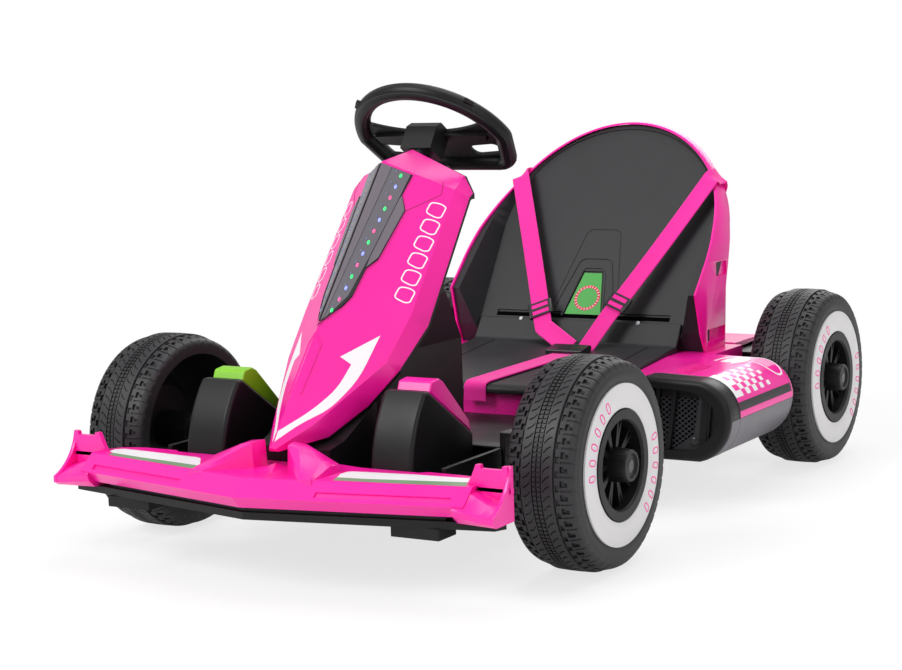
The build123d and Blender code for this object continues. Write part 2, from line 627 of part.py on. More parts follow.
with BuildPart() as nose_cowl:
    for s, shoulder, edge, depth in COWL_SECTIONS:
        add(section_on(ridge_plane(s), cowl_outline(shoulder, edge, depth, 0)))
    loft(ruled=True)
    s, shoulder, edge, depth = COWL_SECTIONS[0]
    add(section_on(ridge_plane(s), cowl_outline(shoulder, edge, depth, 0)))
    add(section_on(CAP_PLANE, cap_outline(0)))
    loft(ruled=True)
    for s, shoulder, edge, depth in COWL_SECTIONS[:-1]:
        add(section_on(ridge_plane(s), cowl_outline(shoulder, edge, depth + 1, COWL_WALL)))
    loft(ruled=True, mode=Mode.SUBTRACT)
    s, shoulder, edge, depth = COWL_SECTIONS[0]
    add(section_on(ridge_plane(s), cowl_outline(shoulder, edge, depth + 1, COWL_WALL)))
    add(section_on(CAP_PLANE.offset(-1), [(x, z - (1 if z < 400 else 0)) for x,
                                          z in cap_outline(COWL_WALL)]))
    loft(ruled=True, mode=Mode.SUBTRACT)
    for side_name, side in SIDES:
        extrude(section_on(face_plane(side, -STRIP_SET), on_face(side, STRIP_OUTLINE)), amount=STRIP_T,
                mode=Mode.SUBTRACT)
nose_cowl.part.label = "nose_cowl"
export_step(nose_cowl.part, "parts/nose_cowl.step")

with BuildPart() as light_strip:
    for side_name, side in SIDES:
        extrude(section_on(face_plane(side, -STRIP_SET), on_face(side, STRIP_OUTLINE)), amount=STRIP_T)
light_strip.part.label = "light_strip"
export_step(light_strip.part, "parts/light_strip.step")

# Console: the cowl's black back plate, the column under it and the steering collar
BACK_PLATE_T = 6.0
collar_plane = Plane(origin=COLUMN_TOP - COLUMN_UP * (HUB_BOX_DROP + 3), x_dir=(1, 0, 0), z_dir=-COLUMN_UP)


def plate_outline(edge, depth):
    """Section of the back plate square to the ridge."""
    top = depth + 2 * SEAT_FIT
    return [(edge - 1.5, top), (edge - 1.5, depth + BACK_PLATE_T),
            (1.5 - edge, depth + BACK_PLATE_T), (1.5 - edge, top)]


def column_profile(inset):
    """Side view of the column, from its rear foot round to its front foot."""
    back = CONSOLE_BACK_Y - inset
    front = CONSOLE_FRONT_Y + inset
    lift = BACK_PLATE_T - 1 + inset
    return [(back, FLOOR_TOP_Z), (back, KNEE_Z - inset / 2), ridge_point(115, 76.5 + lift),
            ridge_point(170, 80 + lift), ridge_point(235, 68 + lift), ridge_point(285, 63 + lift),
            ridge_point(335, 46 + lift), (front, 140 - inset), (front, FLOOR_TOP_Z)]


def column_plan(inset):
    """Plan of the column, narrower at its front foot."""
    wide = CONSOLE_HALF_W - inset
    foot = CONSOLE_FOOT_W - inset
    back = CONSOLE_BACK_Y - inset + 2
    front = CONSOLE_FRONT_Y + inset - 2
    flare = wide + 20
    return [(-flare, back), (-flare, -262), (-wide - 12, -295), (-wide + 2, -335), (-foot, front),
            (foot, front), (wide - 2, -335), (wide + 12, -295), (flare, -262), (flare, back)]


def column_front(inset):
    """Front view of the column, flaring to the cowl's edge above the knee."""
    wide = CONSOLE_HALF_W - inset
    return [(-wide, 50), (wide, 50), (wide, KNEE_Z), (wide + 23, KNEE_Z + 70), (wide + 23, 420),
            (-wide - 23, 420), (-wide - 23, KNEE_Z + 70), (-wide, KNEE_Z)]


def column_solid(inset):
    """Side view, plan and front view crossed into one solid."""
    with BuildPart() as block:
        extrude(section_on(Plane.YZ.offset(-100), column_profile(inset)), amount=200)
        extrude(section_on(Plane.XY, column_plan(inset)), amount=400, mode=Mode.INTERSECT)
        extrude(section_on(Plane.XZ, column_front(inset)), amount=500, mode=Mode.INTERSECT)
    return block.part


column_outer = column_solid(0)
column_inner = column_solid(CONSOLE_WALL)
with BuildPart() as console:
    add(section_on(CAP_PLANE.offset(-SEAT_FIT), [(79, 396.6), (79, 391), (-79, 391), (-79, 396.6)]))
    add(section_on(ridge_plane(0), plate_outline(82, 72)))
    loft(ruled=True)
    for s, shoulder, edge, depth in COWL_SECTIONS[:-1]:
        add(section_on(ridge_plane(s), plate_outline(edge, depth)))
    loft(ruled=True)
    extrude(section_on(CAP_PLANE.offset(-SEAT_FIT), [(0, 447), (69, 417), (79, 397), (79, 391),
                                                     (-79, 391), (-79, 397), (-69, 417)]), amount=-6)
    add(column_outer)
    with BuildSketch(collar_plane):
        Circle(COLLAR_R)
    extrude(amount=60)
    add(column_inner, mode=Mode.SUBTRACT)
    with BuildSketch(collar_plane.offset(-1)):
        Circle(SHAFT_R + RUN_FIT)
    extrude(amount=40, mode=Mode.SUBTRACT)
    with BuildSketch(collar_plane.offset(38)):
        Circle(SHAFT_R + 2)
    extrude(amount=260, mode=Mode.SUBTRACT)
    with BuildSketch(Plane.YZ.offset(-CONSOLE_HALF_W - 1)):
        with Locations((FRONT_AXLE_Y, TYRE_R)):
            Rectangle(BEAM_SIZE + 2 * SEAT_FIT, BEAM_SIZE + 2 * SEAT_FIT)
    extrude(amount=2 * CONSOLE_HALF_W + 2, mode=Mode.SUBTRACT)
console.part.label = "console"
export_step(console.part, "parts/console.step")

# Pedal housings and pedals, one of each on both sides of the console
HOUSING_IN_X = 97.0
HOUSING_OUT_X = 150.0
HOUSING_BACK = [(-378, 203), (-370, 203), (-282, 143.5), (-282, FLOOR_TOP_Z), (-412, FLOOR_TOP_Z)]
HOUSING_EDGE_R = 5.0
PEDAL_PROFILE = [(-364, 199.6), (-359, 211), (-344, 213), (-336, 209), (-284, 158), (-279, 142.1)]
for side_name, side in SIDES:
    with BuildPart() as pedal_housing:
        with BuildSketch(Plane.YZ.offset(side * HOUSING_IN_X)):
            with BuildLine():
                ThreePointArc((-412, FLOOR_TOP_Z), (-401, 166), (-378, 203))
                Polyline(*HOUSING_BACK)
            make_face()
        extrude(amount=side * (HOUSING_OUT_X - HOUSING_IN_X))
        fillet(pedal_housing.edges().filter_by(lambda e: e.center().Z > FLOOR_TOP_Z + 5
                                               and abs(abs(e.center().X) - 123.5) > 20), HOUSING_EDGE_R)
    pedal_housing.part.label = f"pedal_housing_{side_name}"
    export_step(pedal_housing.part, f"parts/{pedal_housing.part.label}.step")
    with BuildPart() as pedal:
        extrude(section_on(Plane.YZ.offset(side * (HOUSING_IN_X + 6)), PEDAL_PROFILE),
                amount=side * (HOUSING_OUT_X - HOUSING_IN_X - 10))
    pedal.part.label = f"pedal_{side_name}"
    export_step(pedal.part, f"parts/{pedal.part.label}.step")

# Seat back: black moulding with side wings, hollowed to a flat leaning panel
RECLINE = math.atan2(SEAT_TOP_Y - CREASE_Y, SEAT_TOP_Z - CREASE_Z)
back_up = Vector(0, math.sin(RECLINE), math.cos(RECLINE))
back_out = Vector(0, -math.cos(RECLINE), math.sin(RECLINE))
back_plane = Plane(origin=(0, CREASE_Y, CREASE_Z), x_dir=(1, 0, 0), z_dir=back_out)


def up_back(z):
    """Distance up the backrest's plane at height z."""
    return (z - CREASE_Z) / math.cos(RECLINE)


def seat_front_outline(grow):
    """Front view of the seat: straight sides under a round top."""
    r = SEAT_ARCH_R + grow
    w = SEAT_HALF_W + grow
    with BuildSketch(Plane.XZ) as outline:
        with BuildLine():
            ThreePointArc((-r, SEAT_ARCH_Z), (0, SEAT_ARCH_Z + r), (r, SEAT_ARCH_Z))
            Polyline((r, SEAT_ARCH_Z), (w, 150), (-w, 150), (-r, SEAT_ARCH_Z))
        make_face()
    return outline.sketch


SEAT_FOOT_Z = 160.4
RIM_PROFILE = [(256, SEAT_FOOT_Z), (244, 186), (230, 238), (304, 313), (382, 384), (435, 456)]


def back_line(gap):
    """Side view of the moulding's rear face, from the top down to its foot, as (y, z) points."""
    head = Vector(0, SEAT_TOP_Y, SEAT_TOP_Z) + back_up * 30 - back_out * (BACK_T + gap)
    knee = Vector(0, CREASE_Y, CREASE_Z) + back_up * 55 - back_out * (BACK_T + gap)
    return [(head.Y, head.Z), (knee.Y, knee.Z), (knee.Y - 6, SEAT_FOOT_Z - 3 * gap)]


STRAP_W = 26.0
STRAP_T = 2.0
SLIDE_AT = 0.93
# Shoulder straps: head at the backrest, the slide, and the end at the connector
STRAP_ROUTES = {1: ((150, 366, 383), (56, 226, 203), (42, 198.5, 170.4)),
                -1: ((-148, 366, 384), (-40, 226, 189), (10, 198.5, 170.4))}


def strap_plane(side, along, part=0):
    """Plane square to one run of a shoulder strap, the given share of the way down it."""
    head = Vector(*STRAP_ROUTES[side][part])
    run = Vector(*STRAP_ROUTES[side][part + 1]) - head
    across = Vector(1, 0, 0).cross(run).cross(run).normalized()
    return Plane(origin=head + run * along, x_dir=across, z_dir=run)


def strap_length(side, part):
    """Length of one run of a shoulder strap."""
    return (strap_plane(side, 1, part).origin - strap_plane(side, 0, part).origin).length


with BuildPart() as seat_back:
    extrude(section_on(Plane.YZ.offset(-SEAT_HALF_W), RIM_PROFILE + back_line(0)), amount=2 * SEAT_HALF_W)
    extrude(seat_front_outline(0), amount=-500, mode=Mode.INTERSECT)
    for lift, grow in ((0, 0), (70, 26)):
        with BuildSketch(back_plane.offset(lift)):
            with BuildLine():
                Polyline((-PAN_HALF_W - grow, -50), (PAN_HALF_W + grow, -50), (161 + grow, up_back(313)))
                ThreePointArc((161 + grow, up_back(313)), (0, up_back(447) + grow),
                              (-161 - grow, up_back(313)))
                Line((-161 - grow, up_back(313)), (-PAN_HALF_W - grow, -50))
            make_face()
    loft(ruled=True, mode=Mode.SUBTRACT)
    with BuildSketch(back_plane):
        with Locations((0, up_back(199) + 4)):
            Rectangle(266, 8)
        with BuildLine():
            Polyline((-30, up_back(201)), (30, up_back(201)), (15, up_back(258)), (-15, up_back(258)),
                     close=True)
        make_face()
    extrude(amount=-2, mode=Mode.SUBTRACT)
    extrude(section_on(Plane.YZ.offset(-PAN_HALF_W - SEAT_FIT),
                       [(190, 150), (190, 164.6), (233, 168.9), (253.3, 197.9),
            (258.6, 194.6), (240.2, 167.6), (240.2, 150)]), amount=2 * (PAN_HALF_W + SEAT_FIT),
            mode=Mode.SUBTRACT)
seat_back.part.label = "seat_back"
export_step(seat_back.part, "parts/seat_back.step")

with BuildPart() as number_plate:
    extrude(section_on(back_plane.offset(-2), [(-27.5, up_back(203)), (27.5, up_back(203)),
                                               (13.5, up_back(256)), (-13.5, up_back(256))]), amount=1.5)
number_plate.part.label = "number_plate"
export_step(number_plate.part, "parts/number_plate.step")

# Pink seat shell round the back of the black moulding
SHELL_PROFILE = [(253, 160.3), (241, 185), (227, 239), (301, 315), (379, 386), (434, 461), (446, 458),
                 (400, 390),
                 (364, 320), (342, 240), (336, 160.3)]
SHELL_CORNER_R = 25.0
SHELL_BACKS = [(150, 336), (240, 342), (320, 364), (390, 400), (470, 452)]


def shell_plan(z, back):
    """Plan of the shell at height z, with round corners behind."""
    w = SEAT_HALF_W + SHELL_T
    r = SHELL_CORNER_R
    k = r * (1 - math.sqrt(0.5))
    with BuildSketch(Plane.XY.offset(z)) as plan:
        with BuildLine():
            Polyline((-w, back - r), (-w, 200), (w, 200), (w, back - r))
            ThreePointArc((w, back - r), (w - k, back - k), (w - r, back))
            Line((w - r, back), (r - w, back))
            ThreePointArc((r - w, back), (k - w, back - k), (-w, back - r))
        make_face()
    return plan.sketch


with BuildPart() as room:
    extrude(section_on(Plane.YZ.offset(-SEAT_HALF_W - 1),
                       back_line(SEAT_FIT) + [(100, SEAT_FOOT_Z - 3 * SEAT_FIT),
            (100, 520)]), amount=2 * SEAT_HALF_W + 2)
    extrude(seat_front_outline(SEAT_FIT), amount=-500, mode=Mode.INTERSECT)
seat_room = room.part
with BuildPart() as shell_block:
    for z, back in SHELL_BACKS:
        add(shell_plan(z, back))
    loft(ruled=True)
with BuildPart() as seat_shell:
    extrude(section_on(Plane.YZ.offset(-SEAT_HALF_W - SHELL_T), SHELL_PROFILE),
            amount=2 * (SEAT_HALF_W + SHELL_T))
    extrude(seat_front_outline(SHELL_T), amount=-500, mode=Mode.INTERSECT)
    add(shell_block.part, mode=Mode.INTERSECT)
    add(seat_room, mode=Mode.SUBTRACT)
    for hole_y, hole_z, hole_w, hole_h in ((312, 266, 34, 19), (290, 181, 58, 16)):
        with BuildSketch(Plane.YZ.offset(-SEAT_HALF_W - SHELL_T - 1)):
            with Locations((hole_y, hole_z)):
                RectangleRounded(hole_w, hole_h, 3)
        extrude(amount=6, mode=Mode.SUBTRACT)
        with BuildSketch(Plane.YZ.offset(SEAT_HALF_W + SHELL_T + 1)):
            with Locations((hole_y, hole_z)):
                RectangleRounded(hole_w, hole_h, 3)
        extrude(amount=-6, mode=Mode.SUBTRACT)
seat_shell.part.label = "seat_shell"
export_step(seat_shell.part, "parts/seat_shell.step")

# Seat pan with its rear flange standing against the backrest
PAN_PROFILE = [(PAN_FRONT_Y, PAN_FRONT_Z - PAN_T), (PAN_FRONT_Y, PAN_FRONT_Z - 5),
               (PAN_FRONT_Y + 6, PAN_FRONT_Z),
               (233, 168.6), (253.5, 197.5), (258, 194.3), (239.6, 167.8), (238, 158),
               (20, PAN_FRONT_Z - PAN_T)]
with BuildPart() as seat_pan:
    extrude(section_on(Plane.YZ.offset(-PAN_HALF_W), PAN_PROFILE), amount=2 * PAN_HALF_W)
seat_pan.part.label = "seat_pan"
export_step(seat_pan.part, "parts/seat_pan.step")

# Pink tub below the seat: cheeks beside the pan, and a deck out to the pods
TUB_HALF_W = POD_IN_X - SEAT_FIT
with BuildPart() as seat_tub:
    extrude(section_on(Plane.YZ.offset(-TUB_HALF_W),
                       [(14, FLOOR_TOP_Z), (14, 134), (30, 146), (200, 160), (336, 160),
                        (336, FLOOR_TOP_Z)]), amount=2 * TUB_HALF_W)
    extrude(section_on(Plane.YZ.offset(-PAN_HALF_W - 1),
                       [(0, PAN_FRONT_Z - PAN_T - SEAT_FIT), (20, PAN_FRONT_Z - PAN_T - SEAT_FIT),
               (238, 158 - SEAT_FIT), (262, 158 - SEAT_FIT), (262, 200), (0, 200)]),
               amount=2 * PAN_HALF_W + 2, mode=Mode.SUBTRACT)
    with BuildSketch(Plane.XY.offset(100)):
        with Locations((0, (TRAY_FRONT_Y + TRAY_BACK_Y) / 2)):
            Rectangle(2 * (TRAY_HALF_W - TRAY_WALL), TRAY_BACK_Y - TRAY_FRONT_Y - 2 * TRAY_WALL)
    extrude(amount=29, mode=Mode.SUBTRACT)
seat_tub.part.label = "seat_tub"
export_step(seat_tub.part, "parts/seat_tub.step")

with BuildPart() as battery:
    with BuildSketch(Plane.XY.offset(TRAY_BOTTOM_Z + TRAY_WALL)):
        with Locations((0, 165)):
            Rectangle(151, 98)
    extrude(amount=58)
battery.part.label = "battery"
export_step(battery.part, "parts/battery.step")

BELT_X = 26.0
LIP_STRAP_X = -17.0
CROTCH_W = 32.0

# Harness: two shoulder straps with slides, a connector and a crotch strap over the pan's lip
with BuildPart() as shoulder_belts:
    for side_name, side in SIDES:
        for part in (0, 1):
            with BuildSketch(strap_plane(side, 0, part)):
                Rectangle(STRAP_W, STRAP_T)
            extrude(amount=strap_length(side, part) + (STRAP_T if part == 0 else 0))
shoulder_belts.part.label = "shoulder_belts"
export_step(shoulder_belts.part, "parts/shoulder_belts.step")

with BuildPart() as belt_slides:
    for side_name, side in SIDES:
        with BuildSketch(strap_plane(side, SLIDE_AT)):
            RectangleRounded(STRAP_W + 9, STRAP_T + 4, 2.5)
            Rectangle(STRAP_W + 1, STRAP_T + 1, mode=Mode.SUBTRACT)
        extrude(amount=-22)
        slide_face = strap_plane(side, SLIDE_AT)
        for lift in (-4, 4):
            with BuildSketch(Plane(origin=slide_face.origin - slide_face.z_dir * 11 + slide_face.y_dir * lift,
                                   x_dir=slide_face.x_dir, z_dir=slide_face.y_dir)):
                with Locations((0, 5.2), (0, -5.2)):
                    Rectangle(STRAP_W - 1, 6.4)
            extrude(amount=2.4, both=True, mode=Mode.SUBTRACT)
belt_slides.part.label = "belt_slides"
export_step(belt_slides.part, "parts/belt_slides.step")

with BuildPart() as belt_connector:
    extrude(section_on(Plane.YZ.offset(BELT_X - 27),
                       [(158, 161.4), (188, 164.4), (190, 171.8), (184, 173.6),
            (157, 169)]), amount=54)
belt_connector.part.label = "belt_connector"
export_step(belt_connector.part, "parts/belt_connector.step")

with BuildPart() as crotch_strap:
    extrude(section_on(Plane.YZ.offset(LIP_STRAP_X - CROTCH_W / 2),
                       [(8.2, 146.7), (1.6, 141.2), (1.6, 124), (-0.4, 124),
            (-0.4, 142.4), (7.4, 148.7), (8.2, 148.8)]), amount=CROTCH_W)
    for y, z, x in ((8, 146.7, LIP_STRAP_X), (156, 161.6, BELT_X)):
        add(section_on(Plane.XZ.offset(-y), [(x - CROTCH_W / 2, z), (x + CROTCH_W / 2, z),
                                             (x + CROTCH_W / 2, z + 2),
            (x - CROTCH_W / 2, z + 2)]))
    loft(ruled=True)
crotch_strap.part.label = "crotch_strap"
export_step(crotch_strap.part, "parts/crotch_strap.step")

# Side pods: black grille frame in front, pink upper and grey lower shell behind
def pod_outline(side, inset):
    """Cross-section of a pod: flat towards the seat and round outside."""
    plane = Plane.XZ.offset(-POD_FRONT_Y)
    x0 = POD_IN_X + inset
    x1 = POD_OUT_X - inset
    top = POD_TOP_Z - inset
    low = POD_BOTTOM_Z + inset
    with BuildSketch(plane) as outline:
        with BuildLine():
            Line((side * x0, low), (side * (x1 - 42), low))
            ThreePointArc((side * (x1 - 42), low), (side * (x1 - 11), low + 21), (side * x1, POD_WIDEST_Z))
            ThreePointArc((side * x1, POD_WIDEST_Z), (side * (x1 - 13), top - 16),
                          (side * (x1 - 42), top - 2))
            Polyline((side * (x1 - 42), top - 2), (side * x0, top), (side * x0, low))
        make_face()
    return outline.sketch


# Slanted bars across the grille, columns are distance outboard and height of the two ends, width
GRILLE_BARS = [(18, 102, 10, 0, 5.0), (42, 102, 26, 0, 5.0), (80, 80, 74, 20, 9.0)]
for side_name, side in SIDES:
    with BuildPart() as pod_grille:
        extrude(pod_outline(side, 0), amount=-POD_FRAME_D)
        front_face = pod_grille.faces().sort_by(Axis.Y)[0]
        fillet(front_face.edges().filter_by(lambda e: abs(e.center().X) > POD_IN_X + 1), POD_EDGE_R)
        extrude(pod_outline(side, POD_FRAME_W), amount=-POD_RECESS_D, mode=Mode.SUBTRACT)
        for top_x, top_z, foot_x, foot_z, width in GRILLE_BARS:
            with BuildSketch(Plane.XZ.offset(-POD_FRONT_Y - POD_RECESS_D / 2)) as bar:
                with BuildLine():
                    Polyline(*[(side * (POD_IN_X + x), POD_BOTTOM_Z + z) for x, z in (
                        (top_x - width / 2, top_z), (top_x + width / 2, top_z),
                        (foot_x + width / 2, foot_z),
                        (foot_x - width / 2, foot_z))], close=True)
                make_face()
                add(pod_outline(side, POD_FRAME_W - 1).moved(Location((0, POD_RECESS_D / 2, 0))),
                    mode=Mode.INTERSECT)
            extrude(amount=-POD_RECESS_D / 2 - 1)
    pod_grille.part.label = f"pod_grille_{side_name}"
    export_step(pod_grille.part, f"parts/{pod_grille.part.label}.step")
    with BuildPart() as pod_body:
        extrude(pod_outline(side, 0).moved(Location((0, POD_FRAME_D, 0))),
                amount=-(POD_BACK_Y - POD_FRONT_Y - POD_FRAME_D))
        tail_face = pod_body.faces().sort_by(Axis.Y)[-1]
        fillet(tail_face.edges().filter_by(lambda e: abs(e.center().X) > POD_IN_X + 1), POD_TAIL_R)
    for piece, low, high in (("top", POD_SPLIT_Z, POD_TOP_Z + 1), ("lower", POD_BOTTOM_Z - 1, POD_SPLIT_Z)):
        with BuildPart() as pod_part:
            add(pod_body.part)
            with BuildSketch(Plane.XY.offset(low)):
                with Locations((side * (POD_IN_X + POD_OUT_X) / 2, (POD_FRONT_Y + POD_BACK_Y) / 2)):
                    Rectangle(POD_OUT_X - POD_IN_X + 2, POD_BACK_Y - POD_FRONT_Y)
            extrude(amount=high - low, mode=Mode.INTERSECT)
        pod_part.part.label = f"pod_{piece}_{side_name}"
        export_step(pod_part.part, f"parts/{pod_part.part.label}.step")

# Rear: pink cover between the wheels, grey bumper behind it, axle, gearboxes
GEARBOX_IN_X = COVER_HALF_W + SEAT_FIT
GEARBOX_OUT_X = 236.0
with BuildPart() as rear_cover:
    extrude(section_on(Plane.YZ.offset(-COVER_HALF_W),
                       [(COVER_FRONT_Y, FLOOR_TOP_Z), (COVER_FRONT_Y, 150), (355, 160), (440, 160),
               (COVER_BACK_Y, 140), (COVER_BACK_Y, FLOOR_TOP_Z)]), amount=2 * COVER_HALF_W)
    extrude(section_on(Plane.YZ.offset(-COVER_HALF_W - 1),
                       [(COVER_FRONT_Y + 5, 100), (COVER_FRONT_Y + 5, 150), (436, 152),
               (COVER_BACK_Y - 5, 136), (COVER_BACK_Y - 5, 100)]), amount=2 * COVER_HALF_W + 2,
               mode=Mode.SUBTRACT)
rear_cover.part.label = "rear_cover"
export_step(rear_cover.part, "parts/rear_cover.step")

with BuildPart() as rear_bumper:
    extrude(section_on(Plane.YZ.offset(-BUMPER_HALF_W),
                       [(COVER_BACK_Y + SEAT_FIT, 88), (COVER_BACK_Y + SEAT_FIT, 142), (490, 150),
               (512, 148), (BUMPER_BACK_Y, 135), (BUMPER_BACK_Y, 102), (512, 88)]),
               amount=2 * BUMPER_HALF_W)
rear_bumper.part.label = "rear_bumper"
export_step(rear_bumper.part, "parts/rear_bumper.step")

with BuildPart() as rear_axle:
    with BuildSketch(Plane.YZ.offset(-(WHEEL_X + CAP_REACH - 14))):
        with Locations((REAR_AXLE_Y, TYRE_R)):
            Circle(AXLE_R)
    extrude(amount=2 * (WHEEL_X + CAP_REACH - 14))
rear_axle.part.label = "rear_axle"
export_step(rear_axle.part, "parts/rear_axle.step")

with BuildPart() as gearboxes:
    for side_name, side in SIDES:
        with BuildSketch(Plane.YZ.offset(side * GEARBOX_IN_X)):
            with Locations((REAR_AXLE_Y, TYRE_R + 4)):
                Rectangle(66, 58)
                Circle(AXLE_R, mode=Mode.SUBTRACT)
        extrude(amount=side * (GEARBOX_OUT_X - GEARBOX_IN_X))
        with BuildSketch(Plane.YZ.offset(side * (GEARBOX_IN_X - 1))):
            with Locations((REAR_AXLE_Y, TYRE_R)):
                Circle(AXLE_R + RUN_FIT)
        extrude(amount=side * (GEARBOX_OUT_X - GEARBOX_IN_X + 2), mode=Mode.SUBTRACT)
gearboxes.part.label = "gearboxes"
export_step(gearboxes.part, "parts/gearboxes.step")
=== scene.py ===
import math

import bpy
import numpy as np
from bpy.props import FloatProperty, FloatVectorProperty, IntProperty, PointerProperty
from mathutils import Matrix, Vector


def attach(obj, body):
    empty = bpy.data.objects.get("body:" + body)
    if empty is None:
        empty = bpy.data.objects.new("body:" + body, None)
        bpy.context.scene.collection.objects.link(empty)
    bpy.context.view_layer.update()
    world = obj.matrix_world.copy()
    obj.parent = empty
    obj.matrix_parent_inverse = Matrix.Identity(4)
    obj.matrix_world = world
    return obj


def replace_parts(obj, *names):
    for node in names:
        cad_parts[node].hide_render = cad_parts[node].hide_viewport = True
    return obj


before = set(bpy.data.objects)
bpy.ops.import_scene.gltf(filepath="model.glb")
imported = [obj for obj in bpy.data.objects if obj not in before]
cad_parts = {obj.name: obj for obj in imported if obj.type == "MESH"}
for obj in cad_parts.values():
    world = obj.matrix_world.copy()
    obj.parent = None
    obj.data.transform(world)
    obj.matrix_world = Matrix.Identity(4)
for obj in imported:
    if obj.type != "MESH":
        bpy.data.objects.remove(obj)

bl_info = {
    "name": "Ride-on kart finish",
    "version": (1, 0, 0),
    "blender": (4, 5, 0),
    "location": "View3D > Sidebar > Kart",
    "description": "Dresses the packed ride-on kart: plastics, tyre tread, light strip, harness and trim",
    "category": "Object",
}

MM = 0.001
SIDES = (("left", 1), ("right", -1))
# Name, side and axle of each wheel
WHEELS = [(f"{axle}_{side_name}", side, axle_y) for axle, axle_y in (("front", -268.0), ("rear", 372.0))
          for side_name, side in SIDES]
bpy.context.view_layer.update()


def linear(code):
    """A hex colour as linear RGB: a dark channel is divided by 12.92, any other is
    ((c + 0.055) / 1.055) to the power 2.4."""
    c = np.array([int(code[i:i + 2], 16) for i in (1, 3, 5)]) / 255
    return tuple(float(v) for v in np.where(c <= 0.04045, c / 12.92, ((c + 0.055) / 1.055) ** 2.4))


# Sizes of the solids that the pieces below stand on, in millimetres, in the CAD frame.
TYRE_R = 117.0
WHEEL_X = 284.0
FACE = 40.0
RIM_R = 60.0
CAP_OUT = 50.2
CAP_R = 8.5
RING_IN_R = 61.5
RING_OUT_R = 88.0
RIDGE_TOP = np.array([0.0, -218.0, 439.0])
RIDGE_DOWN = np.array([0.0, -math.cos(math.radians(51)), -math.sin(math.radians(51))])
COWL_SLOPE = 0.8
DECK_Z = 124.0
POD_IN_X = 206.0
POD_OUT_X = 319.0
POD_TOP_Z = 162.0
POD_BOTTOM_Z = 60.0
POD_WIDEST_Z = 115.0
POD_SPLIT_Z = 111.0
POD_RECESS_Y = 42.0
POD_SEAM_Y = 64.0
POD_BACK_Y = 246.0
POD_TAIL_R = 16.0
SEAT_CREASE = np.array([0.0, 241.0, 170.0])
RECLINE = math.atan2(193.0, 281.0)
BACK_UP = np.array([0.0, math.sin(RECLINE), math.cos(RECLINE)])
BACK_OUT = np.array([0.0, -math.cos(RECLINE), math.sin(RECLINE)])
ACROSS = np.array([1.0, 0.0, 0.0])
COLUMN_TOP = np.array([0.0, -119.0, 469.5])
WHEEL_UP = np.array([0.0, math.sin(math.radians(41)), math.cos(math.radians(41))])
WHEEL_AHEAD = np.array([0.0, -math.cos(math.radians(41)), math.sin(math.radians(41))])
GRIP_R = 10.0
GRIP_LIFT = 5.0


class KartSettings(bpy.types.PropertyGroup):
    """Sizes and colours that a user would change."""
    body_colour: FloatVectorProperty(
        name="Body plastic", description="Colour of the glossy mouldings", subtype="COLOR",
        size=3, min=0, max=1, default=linear("#F8129F"))
    black_colour: FloatVectorProperty(
        name="Black plastic", description="Colour of the matt mouldings", subtype="COLOR",
        size=3, min=0, max=1, default=linear("#1E1D20"))
    tread_depth: FloatProperty(
        name="Tread depth", description="Depth of the main grooves", subtype="DISTANCE",
        unit="LENGTH", min=0.0005, max=0.004, default=0.0024)
    led_count: IntProperty(
        name="Lights a side", description="Light spots on each face of the strip",
        min=1, max=30, default=13)
    strap_thickness: FloatProperty(
        name="Strap thickness", description="Thickness of the harness webbing",
        subtype="DISTANCE", unit="LENGTH", min=0.0008, max=0.003, default=0.0018)


# Materials

def add(tree, kind, inputs=None, **settings):
    """Adds a node, sets its own settings, and fills its inputs with values or with other nodes' outputs."""
    made = tree.nodes.new(kind)
    for name, value in settings.items():
        setattr(made, name, value)
    for name, value in (inputs or {}).items():
        socket = made.inputs[name]
        if isinstance(value, bpy.types.NodeSocket):
            tree.links.new(value, socket)
        else:
            socket.default_value = value
    return made


def blank(name):
    """An empty node material with the object's own coordinates."""
    material = bpy.data.materials.new(name)
    material.use_nodes = True
    tree = material.node_tree
    tree.nodes.clear()
    return material, tree, add(tree, "ShaderNodeTexCoord").outputs["Object"]


def close(tree, shader):
    """Joins the shader to the material's output."""
    add(tree, "ShaderNodeOutputMaterial", {"Surface": shader.outputs[0]})


def shaded(material, tree, inputs):
    """The material with one Principled shader that has the inputs."""
    close(tree, add(tree, "ShaderNodeBsdfPrincipled", inputs))
    return material


def noise(tree, place, size_mm, detail, roughness=0.5):
    """Noise with lumps of about the size."""
    return add(tree, "ShaderNodeTexNoise", {"Vector": place, "Scale": 1 / (size_mm * MM), "Detail": detail,
                                            "Roughness": roughness}).outputs["Fac"]


def streaks(tree, place, scale, detail):
    """Noise drawn out along the axes with a small scale."""
    drawn = add(tree, "ShaderNodeMapping", {"Vector": place, "Scale": scale})
    return noise(tree, drawn.outputs[0], 1 / MM, detail)


def spread(tree, value, low, high, start=0.0, end=1.0):
    """The value carried from the range of start to end into that of low to high, and held at its ends."""
    return add(tree, "ShaderNodeMapRange", {"Value": value, "From Min": start, "From Max": end, "To Min": low,
                                            "To Max": high}).outputs[0]


def relief(tree, height, depth_mm, strength):
    """A bump as deep as given, from a height between 0 and 1."""
    return add(tree, "ShaderNodeBump", {"Height": height, "Distance": depth_mm * MM,
                                        "Strength": strength}).outputs[0]


def between(tree, share, low, high):
    """A colour from low to high by the share."""
    made = add(tree, "ShaderNodeMix", {"Factor": share}, data_type="RGBA")
    for socket, colour in zip([s for s in made.inputs if s.type == "RGBA"], (low, high)):
        socket.default_value = colour
    return [s for s in made.outputs if s.type == "RGBA"][0]


def ramp(tree, value, *stops):
    """A colour that runs from the first stop to the second, each a place and a colour."""
    made = add(tree, "ShaderNodeValToRGB", {"Fac": value})
    for element, (place, colour) in zip(made.color_ramp.elements, stops):
        element.position = place
        element.color = colour
    return made.outputs["Color"]


def reckon(tree, operation, *values):
    """The result of a Math node."""
    return add(tree, "ShaderNodeMath", dict(enumerate(values)), operation=operation).outputs[0]


